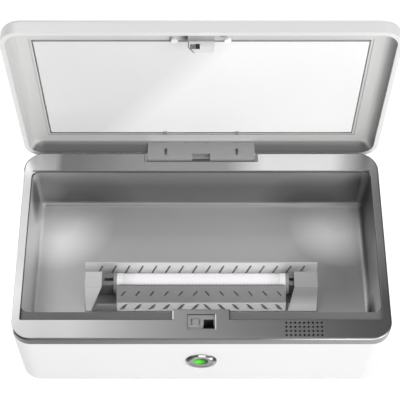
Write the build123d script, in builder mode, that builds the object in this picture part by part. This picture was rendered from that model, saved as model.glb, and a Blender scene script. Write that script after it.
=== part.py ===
"""UV-C sanitizer box for phones: a white tub with a silver deck, a polished steel chamber
with a guarded lamp in it, and a lid with a mirror that swings up at the rear.

Millimetres, +Z up, front towards -Y.  The origin is the middle of the footprint, on the
surface that the feet stand on.  The lid is built shut and then swung open about its hinge.
"""
from build123d import *
from math import cos, radians, sin
import os

# ---------------------------------------------------------------- driving dimensions
# Tub
box_width = 280.0
box_depth = 161.0
corner_radius = 15.0
foot_height = 2.0
base_height = 79.0  # underside of the tub to the top of the deck
band_height = 8.3  # side band of the deck panel
wall = 2.6
floor_thickness = 4.4
bottom_round = 3.6

# Bottom cover
cover_thickness = 2.0
cover_rim = 6.3  # tub wall left outside the cover
cover_clearance = 0.3
cover_recess = 0.2
ledge_side = 30.0  # tub floor left at each end
ledge_front = 17.0  # tub floor left at the front and the rear
vent_slot_length = 34.0
vent_slot_width = 2.4
vent_slot_pitch = 6.5
vent_slot_count = 7

# Deck
deck_thickness = 2.5
deck_edge_round = 1.5
opening_side = 6.9  # deck left at each side of the chamber
opening_front = 16.1
opening_rear = 16.9
opening_radius = 6.0
opening_front_radius = 0.8
opening_edge_chamfer = 0.5
tab_width = 42.0
tab_reach = 8.3
post_radius = 4.0
post_inset_x = 18.0
post_inset_y = 9.0
post_length = 14.0
grille_columns = 9
grille_rows = 4
grille_pitch = 3.25
grille_hole_radius = 0.85
grille_x = 75.3
grille_from_front = 8.5
tongue_height = 3.0
tongue_thickness = 1.1
tongue_clearance = 0.15

# Chamber
chamber_depth = 48.4  # top of the deck to the chamber floor
chamber_sheet = 0.8
chamber_taper = 2.0
chamber_front = 23.0  # front of the box to the inside of the chamber's front wall
chamber_bend = 4.0
chamber_margin = 0.3  # chamber wall behind the deck's edge
chamber_flange = 3.0
front_flange = 8.4

# Lamp
lamp_from_front = 63.6
lamp_height = 11.5  # tube axis above the chamber floor
tube_radius = 7.75
tube_length = 136.0
cap_radius = 8.0
cap_length = 7.0
pin_radius = 1.2
pin_length = 7.0
pin_spacing = 4.75
guard_sheet = 0.8
guard_length = 131.0
guard_from_front = 45.0
guard_front_height = 12.0
guard_front_lean = 1.1
guard_slope_run = 11.9
guard_slope_rise = 8.0
slot_count = 6  # on each half of the guard
slot_first = 4.7
slot_pitch = 11.1
slot_width = 2.6
slot_run = 6.4
slot_angle = 63.0
thin_slot_width = 1.1
thin_slot_run = 4.6
thin_slot_angle = 48.0
tray_length = 182.0
tray_wing_run = 6.5
tray_wing_rise = 17.0
tray_wing_gap = 8.9  # tube axis to the foot of the wing
wing_slot_count = 8  # on each half of the wing
wing_slot_pitch = 10.56
wing_slot_run = 9.0
wing_slot_width = 1.4
wing_slot_angle = 63.0
wing_slot_height = 11.2  # chamber floor to the middle of a slot
holder_width = 16.0
holder_depth = 10.0
holder_height = 18.0
holder_clearance = 0.15
bracket_outer = 90.0
bracket_height = 20.5
bracket_run = 11.2  # foot of the front slope to the top
bracket_top_depth = 13.3
left_inner_foot = -86.3
left_inner_top = -76.9
right_inner_foot = 67.6
right_inner_top = 72.0

# Button
button_drop = 39.4  # deck to the button's centre
bezel_radius = 11.8
bezel_proud = 1.6
bezel_chamfer = 0.9
barrel_radius = 10.0
barrel_length = 14.0
button_radius = 8.9
button_clearance = 0.08
button_thickness = 5.0
button_dish = 0.5
lens_radius = 5.2
lens_proud = 0.3
lens_chamfer = 0.2
nut_thickness = 3.0
nut_radius = 13.0

# Hinge
hinge_inset = 3.0  # axis to the rear face
hinge_drop = 5.0  # deck to the axis
open_angle = 88.8
lug_width = 85.0
lug_radius = 4.5
lug_front_gap = 0.9
ear_thickness = 1.9
ear_gap = 0.3
cradle_floor = 2.0
cradle_gap = 0.5
pin_shaft_radius = 1.5
pin_engagement = 11.0
bush_radius = 2.3
running_clearance = 0.05

# Lid
lid_gap = 0.6
lid_height = 12.6
lid_edge_round = 4.0
lid_lip = 3.5
lid_plate = 1.8
liner_set_back = 0.3
liner_clearance = 0.1
liner_wall = 0.5
liner_taper = 20.0
liner_cove = 5.5
frame_thickness = 2.4
mirror_side = 21.3  # side of the lid to the mirror
mirror_front = 20.6
mirror_rear = 20.4
mirror_thickness = 2.0
mirror_gap = 0.6
mirror_step = 2.0
mirror_step_depth = 0.4
clip_width = 3.0
clip_reach = 2.0
clip_x = 28.3

# Latch
hook_width = 18.4
hook_from_front = 9.7
hook_thickness = 1.6
hook_reach = 9.8  # tip below the lid's rim
hook_corner = 5.5
hook_window_width = 8.2
hook_window_height = 4.7
hook_window_lift = 3.1  # tip to the window
hook_strap = 1.5
hook_tip_chamfer = 1.0
latch_plate_width = 44.4
latch_plate_thickness = 1.0
latch_screw_x = 18.6
latch_screw_inset = 2.7  # from the plate's rear edge
socket_width = 20.6
socket_front = 7.95
socket_depth = 12.5
socket_recess = 1.3
socket_height = 14.0
socket_clearance = 0.1
hook_clearance = 0.5
switch_hole = 7.4
switch_hole_depth = 6.2
switch_hole_x = 5.5

# Screws and clearances
hole_clearance = 0.2
thread_clearance = 0.05
cross_width = 0.7
cross_depth = 0.8
cut_margin = 1.0

# ---------------------------------------------------------------- derived places
front_y = -box_depth / 2
rear_y = box_depth / 2
tub_bottom = foot_height
deck_top = tub_bottom + base_height
deck_underside = deck_top - deck_thickness
band_bottom = deck_top - band_height
tub_floor = tub_bottom + floor_thickness
cover_top = tub_bottom + cover_recess + cover_thickness
chamber_floor = deck_top - chamber_depth
opening_width = box_width - 2 * opening_side
opening_length = box_depth - opening_front - opening_rear
opening_y = front_y + opening_front + opening_length / 2
post_x = box_width / 2 - post_inset_x
post_y = box_depth / 2 - post_inset_y
post_bottom = deck_underside - post_length
button_z = deck_top - button_drop
hinge_y = rear_y - hinge_inset
hinge_z = deck_top - hinge_drop
notch_front_y = hinge_y - lug_radius - lug_front_gap
notch_width = lug_width + 2 * (ear_gap + ear_thickness + hole_clearance)
cradle_top = hinge_z - lug_radius - cradle_gap
cradle_bottom = cradle_top - cradle_floor
rim_z = deck_top + lid_gap
lid_top = rim_z + lid_height
plate_z = lid_top - lid_plate  # inside of the lid's top plate
frame_z = plate_z - frame_thickness  # face of the silver frame
hinge_axis = Axis((0, hinge_y, hinge_z), (1, 0, 0))

os.makedirs("parts", exist_ok=True)


def swung_open(piece):
    """The lid piece turned from shut to its open stop."""
    turned = piece.rotate(hinge_axis, -open_angle)
    turned.label = piece.label
    return turned


# ================================================================ tub
# ---------------------------------------------------------------- base_shell
boss_y = rear_y - ledge_front / 2 - 1.5
boss_spots = [(sx * box_width / 4, sy * boss_y) for sx in (-1, 1) for sy in (-1, 1)]
post_spots = [(sx * post_x, sy * post_y) for sx in (-1, 1) for sy in (-1, 1)]
pillar_radius = post_radius + 0.5
pillar_rib = 1.6
boss_height = 9.0
boss_radius = 3.5
boss_cap = 1.0
pilot_radius = 1.3
pilot_depth = 8.0
shelf_x = 30.0
shelf_width = 10.0
shelf_reach = 12.0
shelf_edge = 5.0
jack_x = box_width / 2 - 40.0
jack_z = tub_floor + 16.0
jack_radius = 4.0
post_head_depth = 6.0  # screw seat below the top of a pillar
post_head_radius = 3.2
post_shank_radius = 1.7
cradle_screw_y = rear_y - wall - shelf_reach + 4.2
tongue_inner = wall + tongue_clearance + tongue_thickness
tongue_outer = wall + tongue_clearance

with BuildPart() as base_shell:
    with BuildSketch(Plane.XY.offset(tub_bottom)):
        RectangleRounded(box_width, box_depth, corner_radius)
    extrude(amount=band_bottom - tub_bottom)
    fillet(base_shell.faces().sort_by(Axis.Z)[0].edges(), bottom_round)
    with BuildSketch(Plane.XY.offset(tub_floor)):
        RectangleRounded(box_width - 2 * wall, box_depth - 2 * wall, corner_radius - wall)
    extrude(amount=base_height, mode=Mode.SUBTRACT)
    # tongue that stands inside the deck's side band
    with BuildSketch(Plane.XY.offset(band_bottom - tongue_height)):
        RectangleRounded(box_width - 2 * wall, box_depth - 2 * wall, corner_radius - wall)
        RectangleRounded(
            box_width - 2 * tongue_inner,
            box_depth - 2 * tongue_inner,
            corner_radius - tongue_inner,
            mode=Mode.SUBTRACT,
        )
    extrude(amount=tongue_height)
    with BuildSketch(Plane.XY.offset(band_bottom)):
        RectangleRounded(
            box_width - 2 * tongue_outer, box_depth - 2 * tongue_outer, corner_radius - tongue_outer
        )
        RectangleRounded(
            box_width - 2 * tongue_inner,
            box_depth - 2 * tongue_inner,
            corner_radius - tongue_inner,
            mode=Mode.SUBTRACT,
        )
    extrude(amount=tongue_height)
    # pillars under the deck posts, each with a rib to the wall
    with BuildSketch(Plane.XY.offset(tub_floor)):
        with Locations(*post_spots):
            Circle(pillar_radius)
        for sx, sy in ((-1, -1), (-1, 1), (1, -1), (1, 1)):
            with Locations((sx * post_x, sy * (post_y + rear_y - wall) / 2)):
                Rectangle(pillar_rib, rear_y - wall - post_y)
    extrude(amount=post_bottom - tub_floor)
    # bosses for the cover screws
    with BuildSketch(Plane.XY.offset(tub_floor)):
        with Locations(*boss_spots):
            Circle(boss_radius)
    extrude(amount=boss_height)
    # shelves on the rear wall that carry the hinge cradle
    for x in (-shelf_x, shelf_x):
        with BuildSketch(Plane.YZ.offset(x - shelf_width / 2)):
            with BuildLine():
                Polyline(
                    (rear_y - wall, cradle_bottom),
                    (rear_y - wall - shelf_reach, cradle_bottom),
                    (rear_y - wall - shelf_reach, cradle_bottom - shelf_edge),
                    (rear_y - wall, cradle_bottom - shelf_edge - shelf_reach),
                    close=True,
                )
            make_face()
        extrude(amount=shelf_width)
    # recess for the bottom cover, then the floor opening above it
    with BuildSketch(Plane.XY.offset(tub_bottom)):
        RectangleRounded(box_width - 2 * cover_rim, box_depth - 2 * cover_rim, corner_radius - cover_rim)
    extrude(amount=cover_top - tub_bottom, mode=Mode.SUBTRACT)
    with BuildSketch(Plane.XY.offset(tub_bottom)):
        RectangleRounded(box_width - 2 * ledge_side, box_depth - 2 * ledge_front, corner_radius / 2)
    extrude(amount=floor_thickness, mode=Mode.SUBTRACT)
    # screw holes: deep seats in the pillars, pilots in the bosses and shelves
    with BuildSketch(Plane.XY.offset(tub_bottom)):
        with Locations(*post_spots):
            Circle(post_head_radius)
    extrude(amount=post_bottom - post_head_depth - tub_bottom, mode=Mode.SUBTRACT)
    with BuildSketch(Plane.XY.offset(tub_bottom)):
        with Locations(*post_spots):
            Circle(post_shank_radius)
    extrude(amount=post_bottom - tub_bottom, mode=Mode.SUBTRACT)
    with BuildSketch(Plane.XY.offset(tub_bottom)):
        with Locations(*boss_spots):
            Circle(pilot_radius)
    extrude(amount=tub_floor + boss_height - boss_cap - tub_bottom, mode=Mode.SUBTRACT)
    with BuildSketch(Plane.XY.offset(cradle_bottom)):
        with Locations((-shelf_x, cradle_screw_y), (shelf_x, cradle_screw_y)):
            Circle(pilot_radius)
    extrude(amount=-pilot_depth, mode=Mode.SUBTRACT)
    # notch for the hinge, button hole and power socket hole
    with BuildSketch(Plane.XY.offset(cradle_bottom)):
        with Locations((0, hinge_y)):
            Rectangle(notch_width, 4 * wall + 2 * hinge_inset)
    extrude(amount=deck_top - cradle_bottom, mode=Mode.SUBTRACT)
    with BuildSketch(Plane.XZ.offset(-front_y)):
        with Locations((0, button_z)):
            Circle(barrel_radius + hole_clearance)
    extrude(amount=-2 * wall, mode=Mode.SUBTRACT)
    with BuildSketch(Plane.XZ.offset(-rear_y)):
        with Locations((jack_x, jack_z)):
            Circle(jack_radius + hole_clearance)
    extrude(amount=2 * wall, mode=Mode.SUBTRACT)
base_shell.part.label = "base_shell"
export_step(base_shell.part, "parts/base_shell.step")

# ---------------------------------------------------------------- bottom_cover
foot_inset_x = 28.0
foot_inset_y = 25.0
foot_x = box_width / 2 - foot_inset_x
foot_y = box_depth / 2 - foot_inset_y
foot_radius = 7.0
board_stand = 5.0
standoff_size = 6.0
standoff_bore = 1.0
countersink_radius = 3.2
cover_hole_radius = 1.6
foot_taper = 0.6
cover_width = box_width - 2 * (cover_rim + cover_clearance)
cover_length = box_depth - 2 * (cover_rim + cover_clearance)
control_x = -62.0
control_size = (74.0, 52.0)
ballast_x = 52.0
ballast_size = (92.0, 42.0)
board_inset = 4.0


def board_corners(x, size):
    """Fixing points in the corners of a circuit board."""
    half_x = size[0] / 2 - board_inset
    half_y = size[1] / 2 - board_inset
    return [(x + sx * half_x, sy * half_y) for sx in (-1, 1) for sy in (-1, 1)]


control_corners = board_corners(control_x, control_size)
ballast_corners = board_corners(ballast_x, ballast_size)
board_holes = [control_corners[0], control_corners[3], ballast_corners[0], ballast_corners[3]]
board_bottom = cover_top + board_stand
board_thickness = 1.6
board_top = board_bottom + board_thickness

with BuildPart() as bottom_cover:
    with BuildSketch(Plane.XY.offset(cover_top - cover_thickness)):
        RectangleRounded(cover_width, cover_length, corner_radius - cover_rim - cover_clearance)
    extrude(amount=cover_thickness)
    with BuildSketch(Plane.XY.offset(cover_top)):
        with Locations(*control_corners, *ballast_corners):
            Rectangle(standoff_size, standoff_size)
    extrude(amount=board_stand)
    with BuildSketch(Plane.XY.offset(cover_top)):
        with Locations(*board_holes):
            Circle(standoff_bore)
    extrude(amount=board_stand, mode=Mode.SUBTRACT)
    with BuildSketch(Plane.XY.offset(cover_top - cover_thickness)):
        for y in (-cover_length / 4, cover_length / 4):
            with Locations((0, y)):
                with GridLocations(vent_slot_pitch, 0, vent_slot_count, 1):
                    Rectangle(vent_slot_width, vent_slot_length)
    extrude(amount=cover_thickness, mode=Mode.SUBTRACT)
    with Locations(Plane(origin=(0, 0, cover_top - cover_thickness), x_dir=(1, 0, 0), z_dir=(0, 0, -1))):
        with Locations(*[(x, -y) for x, y in boss_spots]):
            CounterSinkHole(radius=cover_hole_radius, counter_sink_radius=countersink_radius)
bottom_cover.part.label = "bottom_cover"
export_step(bottom_cover.part, "parts/bottom_cover.step")

# ---------------------------------------------------------------- rubber_feet
with BuildPart() as rubber_feet:
    with BuildSketch():
        with GridLocations(2 * foot_x, 2 * foot_y, 2, 2):
            Circle(foot_radius - foot_taper)
    with BuildSketch(Plane.XY.offset(cover_top - cover_thickness)):
        with GridLocations(2 * foot_x, 2 * foot_y, 2, 2):
            Circle(foot_radius)
    foot_sections = rubber_feet.pending_faces
    rubber_feet.pending_faces = []
    for low, high in zip(foot_sections[:4], foot_sections[4:]):
        loft(sections=[low, high])
rubber_feet.part.label = "rubber_feet"
export_step(rubber_feet.part, "parts/rubber_feet.step")


# ---------------------------------------------------------------- cover_screws
def countersunk_screw(head_radius, shank_radius, length):
    """A countersunk screw, head face down at z = 0, made outside any builder."""
    with BuildPart(mode=Mode.PRIVATE) as screw:
        with BuildSketch(Plane.XZ):
            with BuildLine():
                Polyline(
                    (0, 0),
                    (head_radius, 0),
                    (shank_radius, head_radius - shank_radius),
                    (shank_radius, length),
                    (0, length),
                    close=True,
                )
            make_face()
        revolve(axis=Axis.Z)
        with BuildSketch(Plane.XY):
            Rectangle(head_radius, cross_width)
            Rectangle(cross_width, head_radius)
        extrude(amount=cross_depth, mode=Mode.SUBTRACT)
    return screw.part


def cheese_screw(head_radius, head_height, shank_radius, length):
    """A cheese-head screw, the seat of its head at z = 0 and its shank downwards."""
    with BuildPart(mode=Mode.PRIVATE) as screw:
        with BuildSketch(Plane.XY):
            Circle(head_radius)
        extrude(amount=head_height)
        with BuildSketch(Plane.XY):
            Circle(shank_radius)
        extrude(amount=-length)
    return screw.part


cover_screw_length = 9.0
cover_screw_sink = 0.15
cover_screw = countersunk_screw(
    countersink_radius - hole_clearance, pilot_radius - thread_clearance, cover_screw_length
)
with BuildPart() as cover_screws:
    with Locations(*[(x, y, cover_top - cover_thickness + cover_screw_sink) for x, y in boss_spots]):
        add(cover_screw)
cover_screws.part.label = "cover_screws"
export_step(cover_screws.part, "parts/cover_screws.step")

# ---------------------------------------------------------------- deck_panel
opening_front_y = front_y + opening_front
front_corner_x = opening_width / 2 - opening_radius
front_corner_y = opening_front_y + opening_radius
socket_y = front_y + socket_front + socket_depth / 2
post_cap = 2.0

with BuildPart() as deck_panel:
    with BuildSketch(Plane.XY.offset(band_bottom)):
        RectangleRounded(box_width, box_depth, corner_radius)
    extrude(amount=band_height)
    fillet(deck_panel.faces().sort_by(Axis.Z)[-1].edges(), deck_edge_round)
    with BuildSketch(Plane.XY.offset(band_bottom)):
        RectangleRounded(box_width - 2 * wall, box_depth - 2 * wall, corner_radius - wall)
    extrude(amount=band_height - deck_thickness, mode=Mode.SUBTRACT)
    with BuildSketch(Plane.XY.offset(deck_top)):
        with Locations((0, opening_y)):
            RectangleRounded(opening_width, opening_length, opening_radius)
        # the front corners are nearly square
        with Locations((-front_corner_x, front_corner_y), (front_corner_x, front_corner_y)):
            RectangleRounded(2 * opening_radius, 2 * opening_radius, opening_front_radius)
        with Locations((0, opening_front_y)):
            Rectangle(tab_width, tab_reach, align=(Align.CENTER, Align.MIN), mode=Mode.SUBTRACT)
    extrude(amount=-band_height, mode=Mode.SUBTRACT)
    chamfer(deck_panel.faces().sort_by(Axis.Z)[-1].inner_wires()[0].edges(), opening_edge_chamfer)
    with BuildSketch(Plane.XY.offset(deck_underside)):
        with Locations(*post_spots):
            Circle(post_radius)
    extrude(amount=-post_length)
    with BuildSketch(Plane.XY.offset(post_bottom)):
        with Locations(*post_spots):
            Circle(pilot_radius)
    extrude(amount=post_length - post_cap, mode=Mode.SUBTRACT)
    with BuildSketch(Plane.XY.offset(deck_top)):
        with Locations((0, notch_front_y)):
            Rectangle(notch_width, box_depth, align=(Align.CENTER, Align.MIN))
        with Locations((0, socket_y)):
            Rectangle(socket_width, socket_depth)
    extrude(amount=-band_height, mode=Mode.SUBTRACT)
    with BuildSketch(Plane.XY.offset(deck_top)):
        with Locations((grille_x, front_y + grille_from_front)):
            with GridLocations(grille_pitch, grille_pitch, grille_columns, grille_rows):
                RegularPolygon(grille_hole_radius, 8)
    extrude(amount=-deck_thickness, mode=Mode.SUBTRACT)
deck_panel.part.label = "deck_panel"
export_step(deck_panel.part, "parts/deck_panel.step")

# ---------------------------------------------------------------- deck_screws
deck_screw_head = 2.2
deck_screw_length = 14.0
deck_screw = cheese_screw(
    post_head_radius - 2 * hole_clearance, deck_screw_head, pilot_radius - thread_clearance, deck_screw_length
)
with BuildPart() as deck_screws:
    for x, y in post_spots:
        seat = (x, y, post_bottom - post_head_depth)
        with Locations(Plane(origin=seat, x_dir=(1, 0, 0), z_dir=(0, 0, -1))):
            add(deck_screw)
deck_screws.part.label = "deck_screws"
export_step(deck_screws.part, "parts/deck_screws.step")

# ================================================================ chamber and lamp
# ---------------------------------------------------------------- chamber_liner
chamber_width = opening_width + 2 * chamber_margin
chamber_front_y = front_y + chamber_front
chamber_rear_y = rear_y - opening_rear + chamber_margin
chamber_length = chamber_rear_y - chamber_front_y
chamber_y = (chamber_rear_y + chamber_front_y) / 2
flange_front_y = chamber_front_y - front_flange
flange_length = chamber_rear_y + chamber_flange - flange_front_y
flange_notch = socket_width + 10.0  # gap in the flange round the latch socket


def tapered_well(grow):
    """The chamber's pressed well, its walls grown outwards by the given amount."""
    with BuildPart(mode=Mode.PRIVATE) as well:
        with BuildSketch(Plane.XY.offset(deck_underside)):
            with Locations((0, chamber_y)):
                RectangleRounded(chamber_width + 2 * grow, chamber_length + 2 * grow, opening_radius + grow)
        extrude(amount=-(deck_underside - chamber_floor + grow), taper=chamber_taper)
        fillet(well.faces().sort_by(Axis.Z)[0].edges(), chamber_bend + grow)
    return well.part


with BuildPart() as chamber_liner:
    add(tapered_well(chamber_sheet))
    with BuildSketch(Plane.XY.offset(deck_underside)):
        with Locations((0, flange_front_y)):
            Rectangle(chamber_width + 2 * chamber_flange, flange_length, align=(Align.CENTER, Align.MIN))
            Rectangle(
                flange_notch,
                front_flange - chamber_sheet,
                align=(Align.CENTER, Align.MIN),
                mode=Mode.SUBTRACT,
            )
    extrude(amount=-chamber_sheet)
    add(tapered_well(0), mode=Mode.SUBTRACT)
chamber_liner.part.label = "chamber_liner"
export_step(chamber_liner.part, "parts/chamber_liner.step")

# ---------------------------------------------------------------- lamp_reflector
lamp_y = front_y + lamp_from_front
lamp_z = chamber_floor + lamp_height
guard_front_y = front_y + guard_from_front
wing_foot_y = lamp_y + tray_wing_gap
tray_top = chamber_floor + guard_sheet
tray_front_y = guard_front_y + 0.2
end_wall_height = 12.0
end_wall_gap = 0.2
bracket_front_y = guard_front_y
bracket_lean = (left_inner_top - left_inner_foot) / bracket_height
end_wall_foot = left_inner_foot + end_wall_gap
wing_slot_spots = [(k - wing_slot_count + 0.5) * wing_slot_pitch for k in range(2 * wing_slot_count)]


def bent_sheet(points, start_x, length):
    """Sheet metal bent along a side profile of (y, z) points and run along X."""
    with BuildPart(mode=Mode.PRIVATE) as sheet:
        with BuildSketch(Plane.YZ.offset(start_x)):
            with BuildLine():
                profile = Polyline(*points)
                offset(profile, amount=guard_sheet, side=Side.RIGHT)
            make_face()
        extrude(amount=length)
    return sheet.part


with BuildPart() as lamp_reflector:
    add(
        bent_sheet(
            [
                (wing_foot_y + tray_wing_run, tray_top + tray_wing_rise),
                (wing_foot_y, chamber_floor),
                (tray_front_y, chamber_floor),
            ],
            -tray_length / 2,
            tray_length,
        )
    )
    # low wall that closes the gap between the guard and the left bracket
    with BuildSketch(Plane.XZ.offset(-tray_front_y)):
        with BuildLine():
            Polyline(
                (end_wall_foot, chamber_floor),
                (end_wall_foot + bracket_lean * end_wall_height, chamber_floor + end_wall_height),
                (-guard_length / 2 - end_wall_gap, chamber_floor + end_wall_height),
                (-guard_length / 2 - end_wall_gap, chamber_floor),
                close=True,
            )
        make_face()
    extrude(amount=-guard_sheet)
    # slanted slots through the rear wing
    with BuildSketch(Plane.XZ.offset(-wing_foot_y + cut_margin)):
        with Locations(*[(x, chamber_floor + wing_slot_height) for x in wing_slot_spots]):
            Rectangle(wing_slot_run, wing_slot_width, rotation=wing_slot_angle)
    extrude(amount=-tray_wing_run - 2 * cut_margin, mode=Mode.SUBTRACT)
lamp_reflector.part.label = "lamp_reflector"
export_step(lamp_reflector.part, "parts/lamp_reflector.step")

# ---------------------------------------------------------------- lamp_guard
guard_foot = 6.5
guard_bend = (guard_front_y + guard_front_lean, chamber_floor + guard_front_height)
slot_spots = [slot_first + slot_pitch * k for k in range(slot_count)]
slot_z = (tray_top + guard_bend[1]) / 2
thin_slot_from_bend = 7.8

with BuildPart() as lamp_guard:
    add(
        bent_sheet(
            [
                (guard_front_y + guard_foot, tray_top),
                (guard_front_y, tray_top),
                guard_bend,
                (guard_bend[0] + guard_slope_run, guard_bend[1] + guard_slope_rise),
            ],
            -guard_length / 2,
            guard_length,
        )
    )
    for side in (-1, 1):
        spots = [side * x for x in slot_spots]
        with BuildSketch(Plane.XZ.offset(-guard_front_y + cut_margin)):
            with Locations(*[(x, slot_z) for x in spots]):
                SlotOverall(slot_run, slot_width, rotation=-side * slot_angle)
        extrude(amount=-guard_foot / 2 - cut_margin, mode=Mode.SUBTRACT)
        slope = Plane(
            origin=(0, *guard_bend),
            x_dir=(1, 0, 0),
            z_dir=(0, -guard_slope_rise, guard_slope_run),
        )
        with BuildSketch(slope):
            with Locations(*[(x, thin_slot_from_bend) for x in spots]):
                Rectangle(thin_slot_run, thin_slot_width, rotation=-side * thin_slot_angle)
        extrude(amount=-2 * guard_sheet, mode=Mode.SUBTRACT)
lamp_guard.part.label = "lamp_guard"
export_step(lamp_guard.part, "parts/lamp_guard.step")

# ---------------------------------------------------------------- lamp_tube
glass_wall = 0.9
glass_length = tube_length - 2 * cap_length
with BuildPart() as lamp_tube:
    with Locations(Plane(origin=(-glass_length / 2, lamp_y, lamp_z), z_dir=(1, 0, 0))):
        Cylinder(tube_radius, glass_length, align=(Align.CENTER, Align.CENTER, Align.MIN))
        Cylinder(
            tube_radius - glass_wall,
            glass_length,
            align=(Align.CENTER, Align.CENTER, Align.MIN),
            mode=Mode.SUBTRACT,
        )
lamp_tube.part.label = "lamp_tube"
export_step(lamp_tube.part, "parts/lamp_tube.step")

# ---------------------------------------------------------------- lamp_caps
with BuildPart() as lamp_caps:
    for side in (-1, 1):
        with BuildSketch(Plane.YZ.offset(side * glass_length / 2)):
            with Locations((lamp_y, lamp_z)):
                Circle(cap_radius)
        extrude(amount=side * cap_length)
        with BuildSketch(Plane.YZ.offset(side * tube_length / 2)):
            with Locations((lamp_y - pin_spacing / 2, lamp_z), (lamp_y + pin_spacing / 2, lamp_z)):
                Circle(pin_radius)
        extrude(amount=side * pin_length)
lamp_caps.part.label = "lamp_caps"
export_step(lamp_caps.part, "parts/lamp_caps.step")

# ---------------------------------------------------------------- lamp_holder_left, lamp_holder_right
turn_radius = pin_spacing / 2 + pin_radius + holder_clearance
holder_slot = 2 * (pin_radius + holder_clearance)
holder_round = 1.5


def lamp_holder(side):
    """A push-and-turn socket for one end of the tube."""
    with BuildPart(mode=Mode.PRIVATE) as holder:
        with BuildSketch(Plane.XY.offset(tray_top)):
            with Locations((side * (tube_length + holder_width) / 2, lamp_y)):
                RectangleRounded(holder_width, holder_depth, holder_round)
        extrude(amount=holder_height)
        with BuildSketch(Plane.YZ.offset(side * tube_length / 2)):
            with Locations((lamp_y, lamp_z)):
                Circle(turn_radius)
                Rectangle(holder_slot, holder_height, align=(Align.CENTER, Align.MIN))
        extrude(amount=side * (pin_length + holder_clearance), mode=Mode.SUBTRACT)
    return holder.part


with BuildPart() as lamp_holder_left:
    add(lamp_holder(-1))
lamp_holder_left.part.label = "lamp_holder_left"
export_step(lamp_holder_left.part, "parts/lamp_holder_left.step")

with BuildPart() as lamp_holder_right:
    add(lamp_holder(1))
lamp_holder_right.part.label = "lamp_holder_right"
export_step(lamp_holder_right.part, "parts/lamp_holder_right.step")

# ---------------------------------------------------------------- lamp_bracket_left, lamp_bracket_right
bracket_rear_gap = 2.0


def bracket_cover(start_x, length):
    """The bent cover over one lamp holder."""
    top = chamber_floor + bracket_height
    return bent_sheet(
        [
            (bracket_front_y + guard_foot, tray_top),
            (bracket_front_y, tray_top),
            (bracket_front_y + bracket_run, top),
            (bracket_front_y + bracket_run + bracket_top_depth, top),
            (bracket_front_y + bracket_run + bracket_top_depth, tray_top + bracket_rear_gap),
        ],
        start_x,
        length,
    )


with BuildPart() as lamp_bracket_left:
    add(bracket_cover(-bracket_outer, bracket_outer + left_inner_top))
    with BuildSketch(Plane.XZ.offset(-front_y)):
        with BuildLine():
            Polyline(
                (left_inner_foot, chamber_floor),
                (left_inner_top, chamber_floor + bracket_height),
                (left_inner_top, chamber_floor),
                close=True,
            )
        make_face()
    extrude(amount=-box_depth, mode=Mode.SUBTRACT)
lamp_bracket_left.part.label = "lamp_bracket_left"
export_step(lamp_bracket_left.part, "parts/lamp_bracket_left.step")

with BuildPart() as lamp_bracket_right:
    add(bracket_cover(right_inner_foot, bracket_outer - right_inner_foot))
    with BuildSketch(Plane.XZ.offset(-front_y)):
        with BuildLine():
            Polyline(
                (right_inner_foot, chamber_floor),
                (right_inner_foot, chamber_floor + 2 * bracket_height),
                (right_inner_top, chamber_floor + 2 * bracket_height),
                (right_inner_top, chamber_floor + bracket_height),
                close=True,
            )
        make_face()
    extrude(amount=-box_depth, mode=Mode.SUBTRACT)
lamp_bracket_right.part.label = "lamp_bracket_right"
export_step(lamp_bracket_right.part, "parts/lamp_bracket_right.step")

# ================================================================ latch side of the base
# ---------------------------------------------------------------- latch_socket
hook_y = front_y + hook_from_front + hook_thickness / 2
socket_top = deck_top - socket_recess
slot_half = hook_width / 2 + hook_clearance
slot_depth = hook_thickness + 2 * hook_clearance
hook_slot_depth = hook_reach - lid_gap + 2 * hook_clearance
socket_flange_front = 5.5
socket_flange_width = 26.0
socket_flange_length = 16.3
socket_flange_thickness = 2.0
catch_x = -4.2
catch_y = hook_y + slot_depth / 2 + 0.7
catch_width = 5.8
catch_length = 5.0
catch_gap = 0.5
catch_depth = 6.0

with BuildPart() as latch_socket:
    with BuildSketch(Plane.XY.offset(socket_top)):
        with Locations((0, socket_y)):
            Rectangle(socket_width - 2 * socket_clearance, socket_depth - 2 * socket_clearance)
    extrude(amount=-(socket_height - socket_recess))
    with BuildSketch(Plane.XY.offset(deck_underside)):
        with Locations((0, front_y + socket_flange_front)):
            Rectangle(socket_flange_width, socket_flange_length, align=(Align.CENTER, Align.MIN))
    extrude(amount=-socket_flange_thickness)
    with BuildSketch(Plane.XY.offset(socket_top)):
        with Locations((0, hook_y)):
            Rectangle(2 * slot_half, slot_depth)
    extrude(amount=-hook_slot_depth, mode=Mode.SUBTRACT)
    with BuildSketch(Plane.XY.offset(socket_top)):
        with Locations((switch_hole_x, hook_y)):
            Rectangle(switch_hole, switch_hole_depth, align=(Align.CENTER, Align.MIN))
    extrude(amount=-socket_height, mode=Mode.SUBTRACT)
    with BuildSketch(Plane.XY.offset(socket_top)):
        with Locations((catch_x, catch_y)):
            Rectangle(catch_width, catch_length, align=(Align.CENTER, Align.MIN))
            Rectangle(
                catch_width - 2 * catch_gap,
                catch_length - catch_gap,
                align=(Align.CENTER, Align.MIN),
                mode=Mode.SUBTRACT,
            )
    extrude(amount=-catch_depth, mode=Mode.SUBTRACT)
latch_socket.part.label = "latch_socket"
export_step(latch_socket.part, "parts/latch_socket.step")

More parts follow.
